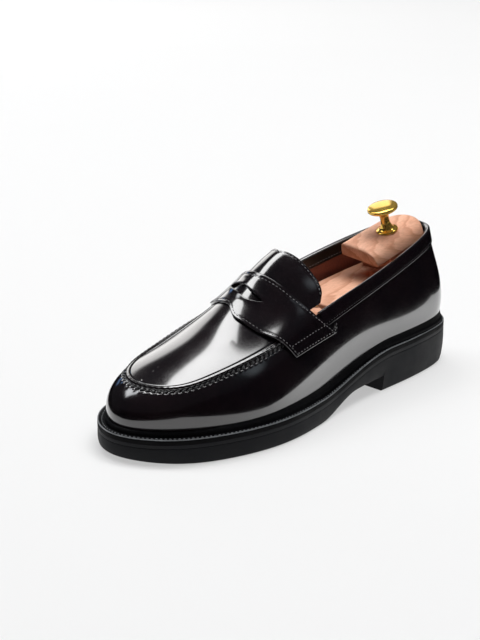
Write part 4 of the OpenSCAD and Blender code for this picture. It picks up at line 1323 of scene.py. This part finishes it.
scene_world = bpy.data.worlds.new("studio")
bpy.context.scene.world = scene_world
scene_world.use_nodes = True
back = scene_world.node_tree.nodes["Background"]
back.inputs[0].default_value = (0.9, 0.95, 1.0, 1)
back.inputs[1].default_value = 0.02


def card(name, corners, material):
    """A studio panel beside the shoe: reflections and light see it, the camera doesn't."""
    me = bpy.data.meshes.new(name)
    me.from_pydata(corners, [], [(0, 1, 2, 3)] if len(corners) == 4 else
                   [(i, i + 1, i + 1 + len(corners) // 2, i + len(corners) // 2)
                    for i in range(len(corners) // 2 - 1)])
    uv = me.uv_layers.new(name="UVMap")
    if len(corners) == 4:
        for loop, co in zip(me.loops, ((0, 0), (1, 0), (1, 1), (0, 1))):
            uv.data[loop.index].uv = co
    me.materials.append(material)
    ob = link(name, me)
    ob.visible_camera = False
    return ob


def soft_edges(k, soft, strength):
    """A strength that fades over the outer part of a panel; soft is that part, up to 0.5."""
    sep = k.add("SeparateXYZ", Vector=k.add("UVMap").outputs[0])
    fade = None
    for axis in (0, 1):
        c = k.math("ABSOLUTE", k.math("SUBTRACT", sep.outputs[axis], 0.5))
        f = k.add("MapRange", Value=c, interpolation_type="SMOOTHSTEP",
                  i1=0.5 - soft, i2=0.5, i3=1.0, i4=0.0).outputs[0]
        fade = f if fade is None else k.math("MULTIPLY", fade, f)
    return k.math("MULTIPLY", fade, strength)


def softbox(name, az, el, wide, tall, strength, colour=(1, 1, 1), soft=0.12, dist=2.4, turn=0.0):
    """A panel of light; az and el are its direction and wide and tall its angles, in degrees."""
    a, e = math.radians(az), math.radians(el)
    d = Vector((math.cos(a) * math.cos(e), math.sin(a) * math.cos(e), math.sin(e)))
    side = Vector((-math.sin(a), math.cos(a), 0))
    upv = d.cross(side)
    if turn:
        q = Matrix.Rotation(math.radians(turn), 3, d)
        side, upv = q @ side, q @ upv
    side = side * dist * math.tan(math.radians(wide / 2))
    upv = upv * dist * math.tan(math.radians(tall / 2))
    mid = d * dist + Vector((0, -0.05, 0.05))
    k = Nodes(name)
    tree = k.tree
    emit = k.add("Emission", Color=(*colour, 1), Strength=soft_edges(k, soft, strength))
    tree.links.new(emit.outputs[0], tree.nodes["Material Output"].inputs["Surface"])
    return card(name, [mid - side - upv, mid + side - upv, mid + side + upv, mid - side + upv],
                k.mat)


softbox("light_top", 174, 67.5, 36, 23, 7.0, (1.0, 1.0, 1.0), 0.12, turn=-20)
softbox("light_zenith", 112, 71, 52, 14, 7.0, (1.0, 1.0, 1.0), 0.25)
softbox("light_back_left", 156, 19, 17, 35, 2.1, (1.0, 0.985, 0.97), 0.22, turn=-16)
softbox("light_rim", 139, 26, 18, 36, 1.5, (1.0, 0.985, 0.97), 0.2, turn=-10)
softbox("light_toe", -156, 44, 20, 22, 4.5, (0.95, 0.97, 1.0), 0.25)
softbox("light_blue", 169, 14, 11, 18, 1.1, (0.32, 0.55, 1.0), 0.35)
softbox("light_right", 30, 43, 12, 20, 0.6, (0.8, 0.92, 1.0), 0.45)

# one broad lamp for the matt surfaces; glossy ones don't mirror it
lamp_data = bpy.data.lights.new("lamp_fill", "AREA")
lamp_data.shape, lamp_data.size, lamp_data.energy = "SQUARE", LAMP_SIZE, LAMP_WATTS
lamp = link("lamp_fill", lamp_data)
lamp.location = (0.3, 0.4, 1.9)
lamp.rotation_euler = (Vector((0, 0, 0.06)) - lamp.location).to_track_quat("-Z", "Y").to_euler()
lamp.visible_glossy = lamp.visible_camera = False

# black flags round the set, seen only in reflections, like the dark room beyond a table
k = Nodes("flag_black")
k.set("Base Color", (0.0, 0.0, 0.0, 1))
k.set("Specular IOR Level", 0.0)
FLAGS = ((0.10, [(-190, 360), (115, 360), (115, -20), (150, -90), (225, -240), (90, -330),
                 (-170, -330)]),
         (0.045, [(-170, -330), (-190, 0), (-190, 360)]))
for n, (high, line) in enumerate(FLAGS):
    flag = card("flag_%d" % n, [(x * MM, y * MM, z) for z in (0.0, high) for x, y in line], k.mat)
    flag.visible_diffuse = flag.visible_shadow = flag.visible_transmission = False

# a glow over the floor beside the heel, seen only in reflections
k = Nodes("floor_glow")
glow = k.add("Emission", Color=(1, 1, 1, 1), Strength=soft_edges(k, GLOW_SOFT, GLOW_STRENGTH))
both = k.add("AddShader")
k.tree.links.new(glow.outputs[0], both.inputs[0])
k.tree.links.new(k.add("BsdfTransparent").outputs[0], both.inputs[1])
k.tree.links.new(both.outputs[0], k.tree.nodes["Material Output"].inputs["Surface"])
glow_card = card("glow_card",
                 [(x * MM, y * MM, 0.0006) for x,
                  y in ((20, -130), (300, -130), (300, 420), (20, 420))], k.mat)
glow_card.visible_diffuse = glow_card.visible_shadow = False
bpy.context.scene.view_settings.view_transform = "Standard"

bpy.context.view_layer.update()
